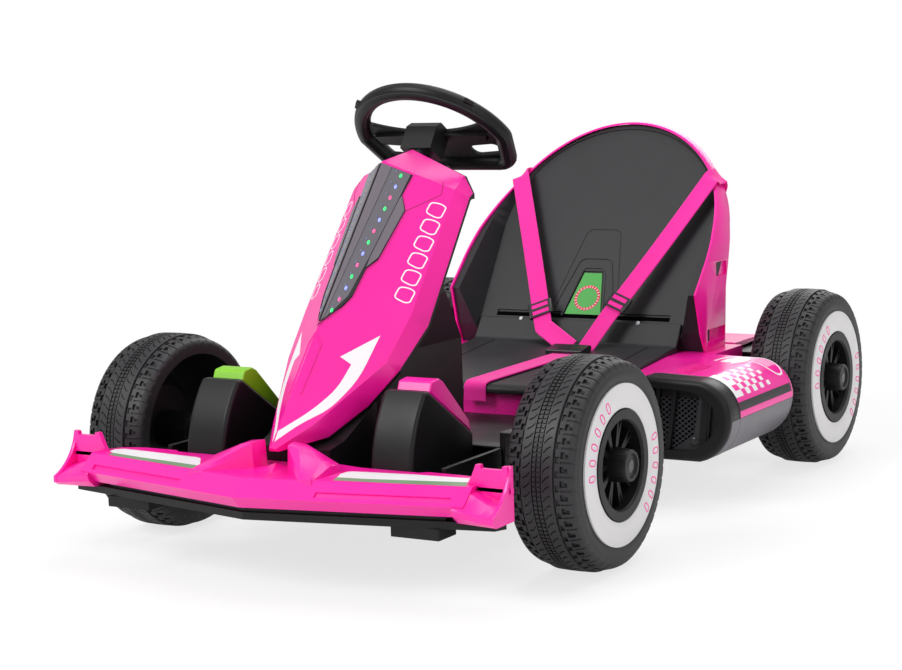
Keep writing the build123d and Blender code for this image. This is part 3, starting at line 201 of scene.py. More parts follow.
def rgba(colour, gain=1.0):
    """A colour with its alpha, made lighter or darker by the gain."""
    return (*[min(1.0, c * gain) for c in colour], 1.0)


DRIFT_MM = 85.0
SMEAR_MM = 40.0


def moulded(name, colour, rough, mottle, grain=None, coat=0.0, ior=1.49):
    """Injection-moulded plastic: slow drifts of tone where the melt has cooled unevenly, a roughness that
    wanders with handling and, given a grain's size and depth in millimetres, an eroded mould's fine bumps."""
    material, tree, place = blank(name)
    tone = between(tree, noise(tree, place, DRIFT_MM, 2.0), rgba(colour, 1 - mottle), rgba(colour, 1 + mottle))
    shine = spread(tree, noise(tree, place, SMEAR_MM, 1.0), rough * 0.93, rough * 1.1, 0.3, 0.7)
    inputs = {"Base Color": tone, "Roughness": shine, "IOR": ior, "Coat Weight": coat, "Coat Roughness": 0.12}
    if grain:
        size, depth = grain
        inputs["Normal"] = relief(tree, noise(tree, place, size, 3.0, 0.6), depth, 0.7)
    return shaded(material, tree, inputs)


def brushed(name, colour, rough, line_mm):
    """Printed film with fine lines across its length, drawn coarser than real ones so that they show."""
    material, tree, place = blank(name)
    lines = streaks(tree, place, (5.0, 1 / (line_mm * MM), 5.0), 2.0)
    return shaded(material, tree, {
        "Base Color": ramp(tree, lines, (0.35, rgba(colour, 0.6)), (0.7, rgba(colour, 1.5))),
        "Roughness": spread(tree, lines, rough - 0.1, rough + 0.1)})


def steel(name, colour, rough):
    """Bright zinc-plated steel: drawn along its length, so the shine is streaked."""
    material, tree, place = blank(name)
    streak = streaks(tree, place, (60.0, 900.0, 900.0), 3.0)
    return shaded(material, tree, {
        "Base Color": rgba(colour), "Metallic": 1.0, "Normal": relief(tree, streak, 0.02, 0.5),
        "Roughness": spread(tree, streak, rough - 0.1, rough + 0.12)})


def webbing(name, colour, thread_mm):
    """Woven polyester tape: a wave along times a wave across, in the strap's own UV, gives the weave, and the
    threads catch the light as a soft sheen."""
    material, tree, _ = blank(name)
    uv = add(tree, "ShaderNodeUVMap", uv_map="along").outputs[0]
    pick = add(tree, "ShaderNodeSeparateXYZ", {"Vector": uv}).outputs
    turn = math.pi / (thread_mm * MM)
    along, across = (reckon(tree, "SINE", reckon(tree, "MULTIPLY", pick[axis], turn * lead))
                     for axis, lead in (("X", 0.55), ("Y", 1.0)))
    height = reckon(tree, "MULTIPLY_ADD", reckon(tree, "MULTIPLY", along, across), 0.5, 0.5)
    return shaded(material, tree, {
        "Base Color": between(tree, height, rgba(colour, 0.9), rgba(colour, 1.1)), "Roughness": 0.78,
        "Normal": relief(tree, height, 0.12, 0.6), "Sheen Weight": 0.25})


def glow(name, colour, power):
    """A light spot behind tinted acrylic, of uneven strength."""
    material, tree, place = blank(name)
    level = spread(tree, noise(tree, place, 1.5, 1.0), power * 0.6, power * 1.4)
    return shaded(material, tree, {"Base Color": rgba(colour), "Roughness": 0.3, "Emission Color": rgba(colour),
                                   "Emission Strength": level})


def tyre_plastic(name, colour):
    """Hard blow-moulded tyre: matt black with a fine satin from the mould and dust in the grooves."""
    material, tree, place = blank(name)
    dust = noise(tree, place, 22.0, 5.0, 0.65)
    return shaded(material, tree, {
        "Base Color": ramp(tree, dust, (0.3, rgba(colour, 0.8)), (0.75, rgba(colour, 1.25))),
        "Roughness": spread(tree, dust, 0.42, 0.62),
        "Normal": relief(tree, noise(tree, place, 0.9, 3.0), 0.04, 0.5)})


MATERIALS = {}


def make_materials(settings):
    """Every finish on the kart, by the name of what the real one is. A row of a moulded finish has its
    colour, roughness, change of tone, grain as size and depth in millimetres or None, coat and ior."""
    pink, black = tuple(settings.body_colour), tuple(settings.black_colour)

    def times(colour, gain):
        return tuple(gain * c for c in colour)

    rows = {
        # Polypropylene from a polished mould: even, with broad soft highlights.
        "pink_gloss_plastic": (pink, 0.30, 0.05, None, 0.15),
        # The same in the shade of a joint: a darker line round the panels.
        "deep_pink_plastic": (times(pink, 0.55), 0.36, 0.05, None),
        # Spark-eroded mould face: grey sheen at a glance, with a grain that breaks the highlight up.
        "black_textured_plastic": (black, 0.46, 0.14, (1.6, 0.045)),
        # Black of the steering wheel and the parts near the floor, dyed deeper than the seat.
        "deep_black_plastic": (times(black, 0.38), 0.42, 0.14, (1.6, 0.04), 0.0, 1.35),
        # Painted shade: a near-black sheet put into open slots and behind the grille, where there is only shade;
        # almost no light comes back out of it.
        "slot_shadow": (linear("#070708"), 0.9, 0.1, None, 0.0, 1.05),
        # Powder coat on the front axle: slightly rough and even.
        "black_powder_coat": (linear("#141417"), 0.5, 0.08, (1.2, 0.03)),
        # Black plastic from a smooth mould, as on buckles.
        "black_gloss_plastic": (black, 0.28, 0.08, None, 0.2),
        # Satin charcoal of the lower pods and the bumper, a little warm.
        "grey_satin_plastic": (linear("#67636A"), 0.36, 0.09, (2.0, 0.03)),
        # Painted highlight: the grille's strands are coloured lighter than the black plastic, for the light that
        # they catch against the shade behind them.
        "grille_plastic": (times(black, 2.6), 0.36, 0.10, (1.6, 0.03)),
        # Smooth grey trim beside the lights.
        "strip_trim_plastic": (linear("#6F6870"), 0.30, 0.06, None),
        # Tinted acrylic over the lights, glossier than any other part.
        "smoked_acrylic": (linear("#68646C"), 0.20, 0.05, None, 0.4),
        # Lime polypropylene, dyed through.
        "green_pedal_plastic": (linear("#7FC41A"), 0.36, 0.07, (3.0, 0.012)),
        # Printed plate on the backrest.
        "green_printed_plate": (linear("#4CA64C"), 0.32, 0.05, None),
        # White ring moulded in its own shot: near white, slightly waxy.
        "white_ring_plastic": (linear("#DEDCDD"), 0.42, 0.03, (3.0, 0.012)),
        # Matt case of the battery.
        "battery_case_plastic": (linear("#3A3D40"), 0.55, 0.1, (2.0, 0.05)),
        # Vinyl transfers and print: flatter and smoother than the moulding under them.
        "white_vinyl": (linear("#F1EEF1"), 0.34, 0.03, None),
        "green_vinyl": (linear("#7F9E7B"), 0.34, 0.16, None),
        "blush_vinyl": (linear("#FF9CCB"), 0.34, 0.10, None),
        "red_print": (linear("#D8324E"), 0.34, 0.03, None),
    }
    MATERIALS.update({name: moulded(name, *row) for name, row in rows.items()})
    for name, maker, colour, *look in (
            # Film printed in two blacks, so that a long bar isn't flat.
            ("black_vinyl", brushed, linear("#211D23"), 0.40, 2.4),
            # Hard matt plastic with dust in its grooves.
            ("tyre_plastic", tyre_plastic, linear("#1E1D20")),
            # Axles and rods: streaked grey shine.
            ("zinc_plated_steel", steel, linear("#B9BCC0"), 0.32),
            # Flat polyester tape: a fine rib that only shows close by.
            ("pink_webbing", webbing, times(pink, 0.95), 1.3),
            # Light spots, washed out by their own strength.
            ("green_light", glow, linear("#2BE06A"), 1.3),
            ("blue_light", glow, linear("#7C88FF"), 1.3),
            ("pink_light", glow, linear("#FF4E8E"), 0.9),
            # Painted reflections: the lights' second reflections inside the acrylic, drawn as weak glowing spots.
            # The lights on the kart's right are drawn in it too.
            ("faint_light", glow, linear("#6C7390"), 0.12)):
        MATERIALS[name] = maker(name, colour, *look)


# Meshes

def finish_mesh(name, verts, faces, material, slot, body="root", smooth=40.0, uv=None):
    """Puts arrays of points in millimetres and faces into an object that rides on the body. Faces that
    meet at less than the smooth angle are shaded as one surface."""
    mesh = bpy.data.meshes.new(name)
    mesh.from_pydata((np.asarray(verts, float) * MM).tolist(), [], [list(map(int, f)) for f in faces])
    mesh.validate()
    if uv is not None:
        layer = mesh.uv_layers.new(name="along")
        index = np.zeros(len(mesh.loops), int)
        mesh.loops.foreach_get("vertex_index", index)
        layer.data.foreach_set("uv", (np.asarray(uv, float)[index] * MM).ravel())
    mesh.shade_smooth()
    mesh.set_sharp_from_angle(angle=math.radians(smooth))
    mesh.materials.append(MATERIALS[material])
    made = bpy.data.objects.new(name, mesh)
    bpy.context.scene.collection.objects.link(made)
    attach(made, body)
    return made


def outward(made):
    """Turns a closed mesh's faces outwards: where the volume that they enclose comes out negative, every
    face is reversed."""
    mesh = made.data
    mesh.calc_loop_triangles()
    co = np.zeros(len(mesh.vertices) * 3)
    mesh.vertices.foreach_get("co", co)
    tri = np.zeros(len(mesh.loop_triangles) * 3, int)
    mesh.loop_triangles.foreach_get("vertices", tri)
    p = co.reshape(-1, 3)[tri.reshape(-1, 3)]
    if np.einsum("ij,ij->i", p[:, 0], np.cross(p[:, 1], p[:, 2])).sum() < 0:
        mesh.flip_normals()
    return made


def grid_faces(rows, cols, close_rows=False, close_cols=False):
    """Quads between neighbouring points of a rows by cols grid, going round where it is closed."""
    r = np.arange(rows if close_rows else rows - 1)
    c = np.arange(cols if close_cols else cols - 1)
    a, b = np.meshgrid(r, c, indexing="ij")
    a2, b2 = (a + 1) % rows, (b + 1) % cols
    return np.stack([a * cols + b, a2 * cols + b, a2 * cols + b2, a * cols + b2], -1).reshape(-1, 4)


def sweep(path, across, up, profile):
    """A closed profile carried along a path: each point is the path's point plus the profile's first
    number times the across direction plus its second times the up direction."""
    profile = np.asarray(profile, float)
    return (path[:, None, :] + profile[None, :, :1] * across[:, None, :]
            + profile[None, :, 1:] * up[:, None, :]).reshape(-1, 3)


def capped(rows, cols):
    """Faces of a swept closed profile with a cap at each end."""
    faces = [tuple(f) for f in grid_faces(rows, cols, close_cols=True)]
    return faces + [tuple(range(cols))[::-1], tuple(range((rows - 1) * cols, rows * cols))]


def rounded(made, width_mm, angle=35.0):
    """A Bevel modifier on the edges sharper than the angle."""
    bevel = made.modifiers.new("rounded", "BEVEL")
    bevel.width = width_mm * MM
    bevel.segments = 2
    bevel.limit_method = "ANGLE"
    bevel.angle_limit = math.radians(angle)
    bevel.use_clamp_overlap = True
    bevel.harden_normals = True


def mirrored(pairs, side):
    """Pairs with their first number turned to the side."""
    return [(side * a, b) for a, b in pairs]


def put(plane, pairs, lift=0.0):
    """Points from pairs of numbers on a plane, which is an origin, two directions and a normal, lifted off
    it: origin + a u + b v + lift n."""
    origin, u, v, n = (np.asarray(part, float) for part in plane)
    pairs = np.asarray(pairs, float)
    return origin + pairs[:, :1] * u + pairs[:, 1:] * v + lift * n


def plate(name, outline, plane, low, high, material, slot, edge=0.0):
    """A flat outline on a plane, carried along the normal from low to high; with an edge size, its sharp
    edges are drawn in by a small bevel."""
    points = np.concatenate([put(plane, outline, low), put(plane, outline, high)])
    made = outward(finish_mesh(name, points, capped(2, len(outline)), material, slot))
    if edge:
        rounded(made, edge)


def joined(name, parts, material, slot, body="root"):
    """Several (points, faces) sets as one object."""
    verts, faces, start = [], [], 0
    for points, cells in parts:
        verts.append(points)
        faces += [tuple(i + start for i in f) for f in cells]
        start += len(points)
    return finish_mesh(name, np.concatenate(verts), faces, material, slot, body)


def arc(a, b, c, count):
    """Points of the circle through three points, from the first by the second to the third."""
    a, b, c = (np.asarray(p, float) for p in (a, b, c))
    centre = np.linalg.solve(2 * np.array([b - a, c - a]), np.array([b @ b - a @ a, c @ c - a @ a]))
    turns = np.unwrap([math.atan2(*(p - centre)[::-1]) for p in (a, b, c)])
    t = np.linspace(turns[0], turns[2], count)
    return centre + np.linalg.norm(a - centre) * np.stack([np.cos(t), np.sin(t)], -1)


def soften(points, radius, closed=False, count=5):
    """A polyline with each corner replaced by a parabola that starts and ends the radius away from it:
    (1 - t)^2 A + 2 t (1 - t) corner + t^2 B."""
    points = [np.asarray(p, float) for p in points]
    n = len(points)
    t = np.linspace(0, 1, count)[:, None]
    made = []
    for i, corner in enumerate(points):
        if not closed and i in (0, n - 1):
            made.append(corner[None])
            continue
        before, after = points[i - 1], points[(i + 1) % n]
        reach = min(radius, 0.45 * np.linalg.norm(before - corner), 0.45 * np.linalg.norm(after - corner))
        a = corner + (before - corner) / np.linalg.norm(before - corner) * reach
        b = corner + (after - corner) / np.linalg.norm(after - corner) * reach
        made.append((1 - t) ** 2 * a + 2 * t * (1 - t) * corner + t ** 2 * b)
    return np.concatenate(made)


def bead(path, up, width, height, closed=False, sink=0.4):
    """A low rib along a path: its profile is a flat-topped arch of the width and height, set a little into
    the surface below it."""
    path = np.asarray(path, float)
    up = np.broadcast_to(np.asarray(up, float), path.shape)
    run = np.roll(path, -1, 0) - np.roll(path, 1, 0) if closed else np.gradient(path, axis=0)
    run /= np.linalg.norm(run, axis=1)[:, None]
    across = np.cross(run, up)
    across /= np.linalg.norm(across, axis=1)[:, None]
    w = width / 2
    half = [(w * 0.7, height), (w, height * 0.4), (w, -sink)]
    profile = mirrored(half[::-1], -1) + half
    points = sweep(path, across, up, profile)
    if closed:
        return points, [tuple(f) for f in grid_faces(len(path), len(profile), True, True)]
    return points, capped(len(path), len(profile))


def slab(top, normals, lift, sink):
    """A curved sheet with a thickness: a grid of points lifted along its normals, the same grid sunk below
    the surface, and a wall round the rim."""
    rows, cols = top.shape[:2]
    points = np.concatenate([(top + lift * normals).reshape(-1, 3), (top - sink * normals).reshape(-1, 3)])
    cells = grid_faces(rows, cols)
    low = rows * cols
    index = np.arange(low).reshape(rows, cols)
    rim = np.concatenate([index[0, :], index[1:, -1], index[-1, -2::-1], index[-2:0:-1, 0]])
    after = np.roll(rim, -1)
    wall = np.stack([rim, after, after + low, rim + low], -1)
    faces = [tuple(f) for f in cells] + [tuple(f[::-1] + low) for f in cells] + [tuple(f[::-1]) for f in wall]
    return points, faces


def button(centre, up, radius, height, sides=20):
    """A low round head: three rings that draw in towards the top, capped at both ends."""
    up = np.asarray(up, float) / np.linalg.norm(up)
    a = np.cross(up, (0.3, 0.5, 0.81))
    a /= np.linalg.norm(a)
    b = np.cross(up, a)
    t = np.linspace(0, 2 * math.pi, sides, endpoint=False)
    ring = np.outer(np.cos(t), a) + np.outer(np.sin(t), b)
    points = np.concatenate([np.asarray(centre, float) + radius * f * ring + h * height * up
                             for f, h in ((1.0, -0.5), (1.0, 0.5), (0.86, 0.85), (0.6, 1.0))])
    return points, capped(4, sides)


# Tyres

# Half the tread's profile from the middle outwards: the pattern of each band, and the distance from the
# middle plane and the radius of its rows
TREAD_BANDS = (
    ("groove", (0.0, 117.0), (0.6, 117.0)), ("chop", (0.9, 117.0), (4.6, 117.0)),
    ("groove", (4.9, 117.0), (5.7, 117.0)), ("plain", (6.0, 117.0), (7.4, 116.9)),
    ("sipe", (7.7, 116.9), (11.0, 116.8), (15.3, 116.7)),
    ("plain", (15.6, 116.7), (18.0, 116.6), (18.6, 116.2)),
    ("groove", (19.0, 115.4), (20.2, 115.2)), ("block", (20.6, 115.0), (24.6, 114.2)),
    ("plain", (24.9, 114.1), (26.0, 113.8)), ("notch", (26.3, 113.7), (29.6, 112.9)),
    ("slot", (29.9, 112.8), (33.6, 111.8)), ("line", (33.9, 111.7), (37.0, 110.2)),
    ("scallop", (38.6, 108.4), (39.7, 106.2)), ("plain", (40.0, 104.4)),
)
# How far the pattern has slid round at a distance from the middle plane, in steps
TREAD_SLIDE = ((7.4, 7.7, 11.0, 15.3), (0.0, 0.1, 0.9, 1.3))
# The tyre's sides and inner face, as (distance from the middle plane, radius)
TYRE_WALL = ((40.0, 101.0), (40.6, 99.5), (40.6, 92.0), (40.0, 90.5), (40.0, RIM_R + 0.3), (32.0, RIM_R + 0.3),
             (32.0, 101.5), (-37.0, 101.5), (-39.0, 97.5), (-40.0, 93.5), (-40.0, 98.0))
# Steps of the pattern round the tyre, and the shares of a step where its grid has a column
SECTORS = 144
STEP_AT = (0.0, 0.09, 0.32, 0.41)


def tread_drop(kind, sector, step, depth):
    """How far the pattern lies below the crown at each column: grooves all the way round, fine cuts one a
    sector, slanted sipes every second sector, and blocks with a stepped notch every third."""
    cut = (step == 1) | (step == 2)
    third = sector % 3
    shallow = 0.5 * ((third == 0) & cut)
    share = {
        "plain": np.zeros(sector.shape),
        "groove": np.full(sector.shape, 0.8),
        "chop": 0.6 * cut,
        "sipe": 0.6 * (cut & (sector % 2 == 0)),
        "block": 1.2 * (((third == 0) & (step > 0)) | ((third == 1) & (step < 3))),
        "notch": np.where(((third == 1) & (step > 0)) | ((third == 2) & (step < 3)), 1.25, shallow),
        "slot": np.where((third == 1) & (step > 0), 1.25, shallow),
        "line": shallow,
        "scallop": 0.55 * ((third == 0) & (step < 3)),
    }
    return depth * share[kind]


def tyre_surface(side, axle_y, depth_mm):
    """A tyre's skin over (profile row, angle): the radius is the row's radius less the tread's drop, and the
    angle is the column's angle plus the row's slide, so that slanted cuts run along the grid."""
    half = [(x, r, kind) for kind, *pairs in TREAD_BANDS for x, r in pairs]
    rows = [(-x, r, kind) for x, r, kind in half[:0:-1]] + half + [(x, r, "plain") for x, r in TYRE_WALL]
    sector = np.repeat(np.arange(SECTORS), len(STEP_AT))
    step = np.tile(np.arange(len(STEP_AT)), SECTORS)
    at = sector + np.tile(STEP_AT, SECTORS)
    x, r = (np.array([row[i] for row in rows])[:, None] * np.ones(len(at)) for i in (0, 1))
    r -= np.stack([tread_drop(kind, sector, step, depth_mm) for _, _, kind in rows])
    angle = (at + np.sign(x) * np.interp(abs(x), *TREAD_SLIDE)) * 2 * math.pi / SECTORS
    points = np.stack([side * (WHEEL_X + x), axle_y + r * np.sin(angle), TYRE_R + r * np.cos(angle)], -1)
    return points.reshape(-1, 3), grid_faces(len(rows), len(at), close_rows=True, close_cols=True)


class KART_OT_tyres(bpy.types.Operator):
    """Four tyres with their moulded tread, each in place of its plain solid"""
    bl_idname = "kart.tyres"
    bl_label = "Tyres"

    def execute(self, context):
        depth = context.scene.kart.tread_depth / MM
        for wheel, side, axle_y in WHEELS:
            made = outward(finish_mesh(f"tread_{wheel}", *tyre_surface(side, axle_y, depth), "tyre_plastic",
                                       "tyre_black", f"wheel_{wheel}", smooth=28))
            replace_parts(made, f"tyre_{wheel}")
        return {"FINISHED"}


# Finishes on the solids: for each material the starts of the nodes' names, with the rounding of their sharp
# edges in millimetres
NODE_FINISHES = {
    "pink_gloss_plastic": {"front_wing": 1.8, "nose_cowl": 0.8, "pedal_left": 2.5, "seat_shell": 1.0,
                           "seat_tub": 2.0, "pod_top": 0.0, "rear_cover": 3.0},
    "deep_black_plastic": {"rim_": 0.7, "knuckle_": 0.0, "steering_wheel": 1.2, "chassis_floor": 1.2,
                           "wing_lip": 1.5, "light_strip": 0.0, "console": 2.0, "pedal_housing": 0.0,
                           "pod_grille": 1.0, "gearboxes": 2.0},
    "black_textured_plastic": {"seat_back": 1.6, "seat_pan": 2.5},
    "black_gloss_plastic": {"belt_slides": 0.5, "belt_connector": 2.0},
    "black_powder_coat": {"front_axle": 1.0},
    "zinc_plated_steel": {"rear_axle": 0.0, "steering_shaft": 0.0, "tie_rod": 0.0},
    "grey_satin_plastic": {"pod_lower": 0.0, "rear_bumper": 4.0},
    "white_ring_plastic": {"ring_": 0.0},
    "tyre_plastic": {"tyre_": 0.0},
    "green_pedal_plastic": {"pedal_right": 2.5},
    "green_printed_plate": {"number_plate": 0.0},
    "battery_case_plastic": {"battery": 3.0},
    "pink_webbing": {"shoulder_belts": 0.0, "crotch_strap": 0.0},
}


class KART_OT_finishes(bpy.types.Operator):
    """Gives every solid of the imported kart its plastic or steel"""
    bl_idname = "kart.finishes"
    bl_label = "Finishes on the solids"

    def execute(self, context):
        make_materials(context.scene.kart)
        for name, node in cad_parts.items():
            found = [(material, edge) for material, starts in NODE_FINISHES.items()
                     for start, edge in starts.items() if name.startswith(start)]
            if len(found) != 1:
                raise RuntimeError(f"{len(found)} finishes for node {name}")
            material, edge = found[0]
            node.data.materials.clear()
            node.data.materials.append(MATERIALS[material])
            if edge:
                weld = node.modifiers.new("weld", "WELD")
                weld.merge_threshold = 0.02 * MM
                flat = node.modifiers.new("flat", "DECIMATE")
                flat.decimate_type = "DISSOLVE"
                flat.angle_limit = math.radians(1.0)
                rounded(node, edge, angle=24.0)
        return {"FINISHED"}


# Cowl. The outlines are pairs of distance down the ridge and distance sideways.

def cowl_face(side):
    """The plane of one face of the cowl: its top, down the ridge, sideways, and out of the face."""
    k, c = -RIDGE_DOWN[2], -RIDGE_DOWN[1]
    across = np.array([side, COWL_SLOPE * k, -COWL_SLOPE * c])
    out = np.array([side * COWL_SLOPE, -k, c]) / math.hypot(1, COWL_SLOPE)
    return RIDGE_TOP, RIDGE_DOWN, across, out


# The strip's height, how deep its parts are set into it, and their name, outline, height and material
STRIP_LIFT = 1.2
STRIP_SINK = 0.6
STRIP_PARTS = (
    ("spine", ((4, 0.4), (4, 9.6), (212, 1.4), (215, 0.4)), 1.0, "strip_trim_plastic"),
    ("light_panel", ((4, 10.6), (4, 27.8), (34, 25.8), (122, 19.6), (176, 14.6), (196, 8.0), (212, 2.2)), 0.5,
     "smoked_acrylic"),
    ("side_facet", ((35, 27.4), (51, 33.8), (119, 27.0), (134, 20.8), (122, 20.9), (40, 26.6)), 1.4,
     "strip_trim_plastic"),
    ("lower_facet", ((126, 20.6), (136, 20.2), (174, 17.6), (190, 12.6), (212, 3.4), (197, 9.0), (177, 15.6)),
     1.0, "black_textured_plastic"),
)
# Outer and inner edge of the bent arrow; the tip's other corner lies between them
ARROW_OUTER = ((368, 1.2), (338, 16.0), (311, 34.6), (267, 48.8), (207, 53.0))
ARROW_CORNER = (248, 27.2)
ARROW_INNER = ((252, 38.4), (285, 34.5), (320, 20.6), (355, 0.9))
PANEL_LINES = (((-3, 58.1), (13, 60), (24.5, 52.4), (50, 35)), ((217, 2.2), (222, 1.0)))
CHEVRON = ((231, 0.5), (241, 8.0), (306, 7.0))
# One mark beside the strip, and the distance down the ridge of each
MARK = ((-9.5, 62), (-8, 68.5), (7, 67), (9.5, 63), (8, 52.5), (-7, 54))
MARKS_AT = (34, 57, 80, 103, 126, 149)
# Middle line of the lights, as distances down and sideways, and where their row starts and how long it is
LIGHT_LINE = ((4, 122, 176, 205), (20.6, 13.6, 10.2, 5.4))
LIGHTS_FROM, LIGHTS_RUN = 10, 190.0
# Half length and half width of a light, the shift and size of the fainter spot beside it, which is a painted
# reflection, and the rings of a dome as (share of the size, height)
LIGHT_HALVES = (2.8, 1.5)
FAINT_SHIFT, FAINT_SIZE = (-3.5, -5.2), 0.6
DOME = ((1.0, 0.0), (0.75, 0.6), (0.35, 0.9))


class KART_OT_cowl(bpy.types.Operator):
    """Light strip, panel lines and transfers on the nose cowl"""
    bl_idname = "kart.cowl"
    bl_label = "Cowl and lights"

    def execute(self, context):
        for side_name, side in SIDES:
            face = cowl_face(side)
            out = face[3]
            for name, outline, high, material in STRIP_PARTS:
                plate(f"{name}_{side_name}", outline, face, STRIP_LIFT - STRIP_SINK, STRIP_LIFT + high, material,
                      "strip_lens", edge=0.4)
            arrow = np.concatenate([soften(ARROW_OUTER, 22), [ARROW_CORNER], soften(ARROW_INNER, 22)])
            plate(f"arrow_{side_name}", arrow, face, -0.1, 0.25, "white_vinyl", "pink_plastic")
            lines = [bead(put(face, line), out, 1.3, 0.35) for line in PANEL_LINES]
            joined(f"panel_lines_{side_name}", lines, "deep_pink_plastic", "pink_plastic")
            chevron = [bead(put(face, soften(CHEVRON, 3)), out, 2.2, 1.0)]
            joined(f"chevron_{side_name}", chevron, "pink_gloss_plastic", "pink_plastic")
            marks = [put(face, soften([(down + a, b) for a, b in MARK], 4, closed=True)) for down in MARKS_AT]
            joined(f"side_marks_{side_name}", [bead(mark, out, 1.6, 0.3, closed=True) for mark in marks],
                   "white_vinyl", "pink_plastic")
            self.lights(side_name, side, face, context.scene.kart.led_count)
        return {"FINISHED"}

    def lights(self, side_name, side, face, count):
        """Domes along the panel's middle line, each with a fainter spot towards the ridge, a painted reflection
        of the light. On the kart's left they run in threes of green, blue and pink, and on its right all of them
        are faint."""
        _, down, across, out = face
        ring = np.linspace(0, 2 * math.pi, 16, endpoint=False)
        oval = (np.outer(LIGHT_HALVES[0] * np.cos(ring), down)
                + np.outer(LIGHT_HALVES[1] * np.sin(ring), across / np.linalg.norm(across)))
        kinds = {"green_light": [], "blue_light": [], "pink_light": [], "faint_light": []}
        for i in range(count):
            s = LIGHTS_FROM + i * LIGHTS_RUN / max(1, count - 1)
            x = np.interp(s, *LIGHT_LINE)
            bright = list(kinds)[i % 3] if side > 0 else "faint_light"
            # The fainter spot is a painted reflection of the light in the acrylic, a weak glow beside it
            fainter = ("faint_light", FAINT_SHIFT[0], FAINT_SHIFT[1] * (1 - i / count), FAINT_SIZE)
            for kind, ds, dx, size in ((bright, 0, 0, 1.0), fainter):
                centre = put(face, [(s + ds, x + dx)], STRIP_LIFT + 0.5)
                dome = np.concatenate([centre + size * share * oval + high * out for share, high in DOME])
                kinds[kind].append((dome, capped(len(DOME), len(ring))))
        for kind, parts in kinds.items():
            if parts:
                outward(joined(f"{kind}s_{side_name}", parts, kind, "strip_lens"))


# Wing

# Decals on the deck as (x, y): the white half behind and the green half in front, on each side
DECALS = {
    1: (((93, -466), (86, -450), (87, -438), (93, -434), (161, -424), (226, -419), (234, -437), (124, -462)),
        ((97, -480), (93, -466), (124, -462), (234, -437), (242, -454), (176, -467))),
    -1: (((-84, -470), (-110, -436), (-118, -433), (-194, -426), (-228, -424), (-237, -430), (-236, -440),
          (-226, -447), (-185, -455)),
         ((-76, -486), (-84, -470), (-185, -455), (-226, -447), (-224, -456), (-210, -461), (-135, -475))),
}
FLANGE = ((62, -420), (62, -413.2), (160, -413.2), (168, -407), (214, -407.5), (238, -416), (249, -431),
          (249, -452), (180, -437), (62, -411))
# Web under each winglet, in front view
WINGLET_FOOT = ((246, 104), (285, 104), (287, 121), (240, 121))
WINGLET_Y = -437
WINGLET_THICK = 7.0


class KART_OT_wing(bpy.types.Operator):
    """Decals, rear flange and the centre wedge of the front wing"""
    bl_idname = "kart.wing"
    bl_label = "Wing"

    def execute(self, context):
        deck = ((0, 0, DECK_Z), ACROSS, (0, 1, 0), (0, 0, 1))
        winglet = ((0, WINGLET_Y, 0), ACROSS, (0, 0, 1), (0, -1, 0))
        for side_name, side in SIDES:
            plate(f"deck_flange_{side_name}", mirrored(FLANGE, side), deck, -3.2, -0.15, "pink_gloss_plastic",
                  "pink_plastic", edge=0.8)
            for kind, outline, lift in zip(("white", "green"), DECALS[side], (0.3, 0.22)):
                plate(f"decal_{kind}_{side_name}", outline, deck, -0.1, lift, f"{kind}_vinyl", "pink_plastic")
            plate(f"winglet_foot_{side_name}", mirrored(WINGLET_FOOT, side), winglet, 0.0, WINGLET_THICK,
                  "pink_gloss_plastic", "pink_plastic", edge=1.0)
        foot = put(deck, [(-13, -472), (13, -472), (9, -440), (-9, -440)], -0.3)
        wedge = np.concatenate([put(deck, [(0, -446)], 5.0), foot])
        outward(finish_mesh("centre_wedge", wedge, [(0, 1, 2), (0, 2, 3), (0, 3, 4), (0, 4, 1), (4, 3, 2, 1)],
                            "pink_gloss_plastic", "pink_plastic", smooth=10))
        return {"FINISHED"}


# Seat

# Lines moulded into the backrest: half of each outline as (half width, distance up the back)
PANEL_HALVES = (((46, 43), (40, 68), (24.5, 122), (18, 126.4)), ((54, 43), (46, 72), (26, 168), (20, 173)))
PLATE_FRAME = ((31.5, 37), (17.5, 107), (13, 112.5))
# Outline of the slot across the back, where a near-black sheet of painted shade lies
BACK_SEAM = ((-133, 33.5), (133, 33.5), (133, 39.5), (-133, 39.5))
# The printed ring's middle on the back, its radius, and the radii between which its ticks run
DISC_AT = (1.0, 65.5)
DISC_R = 17.3
TICK_R = (15.6, 19.0)


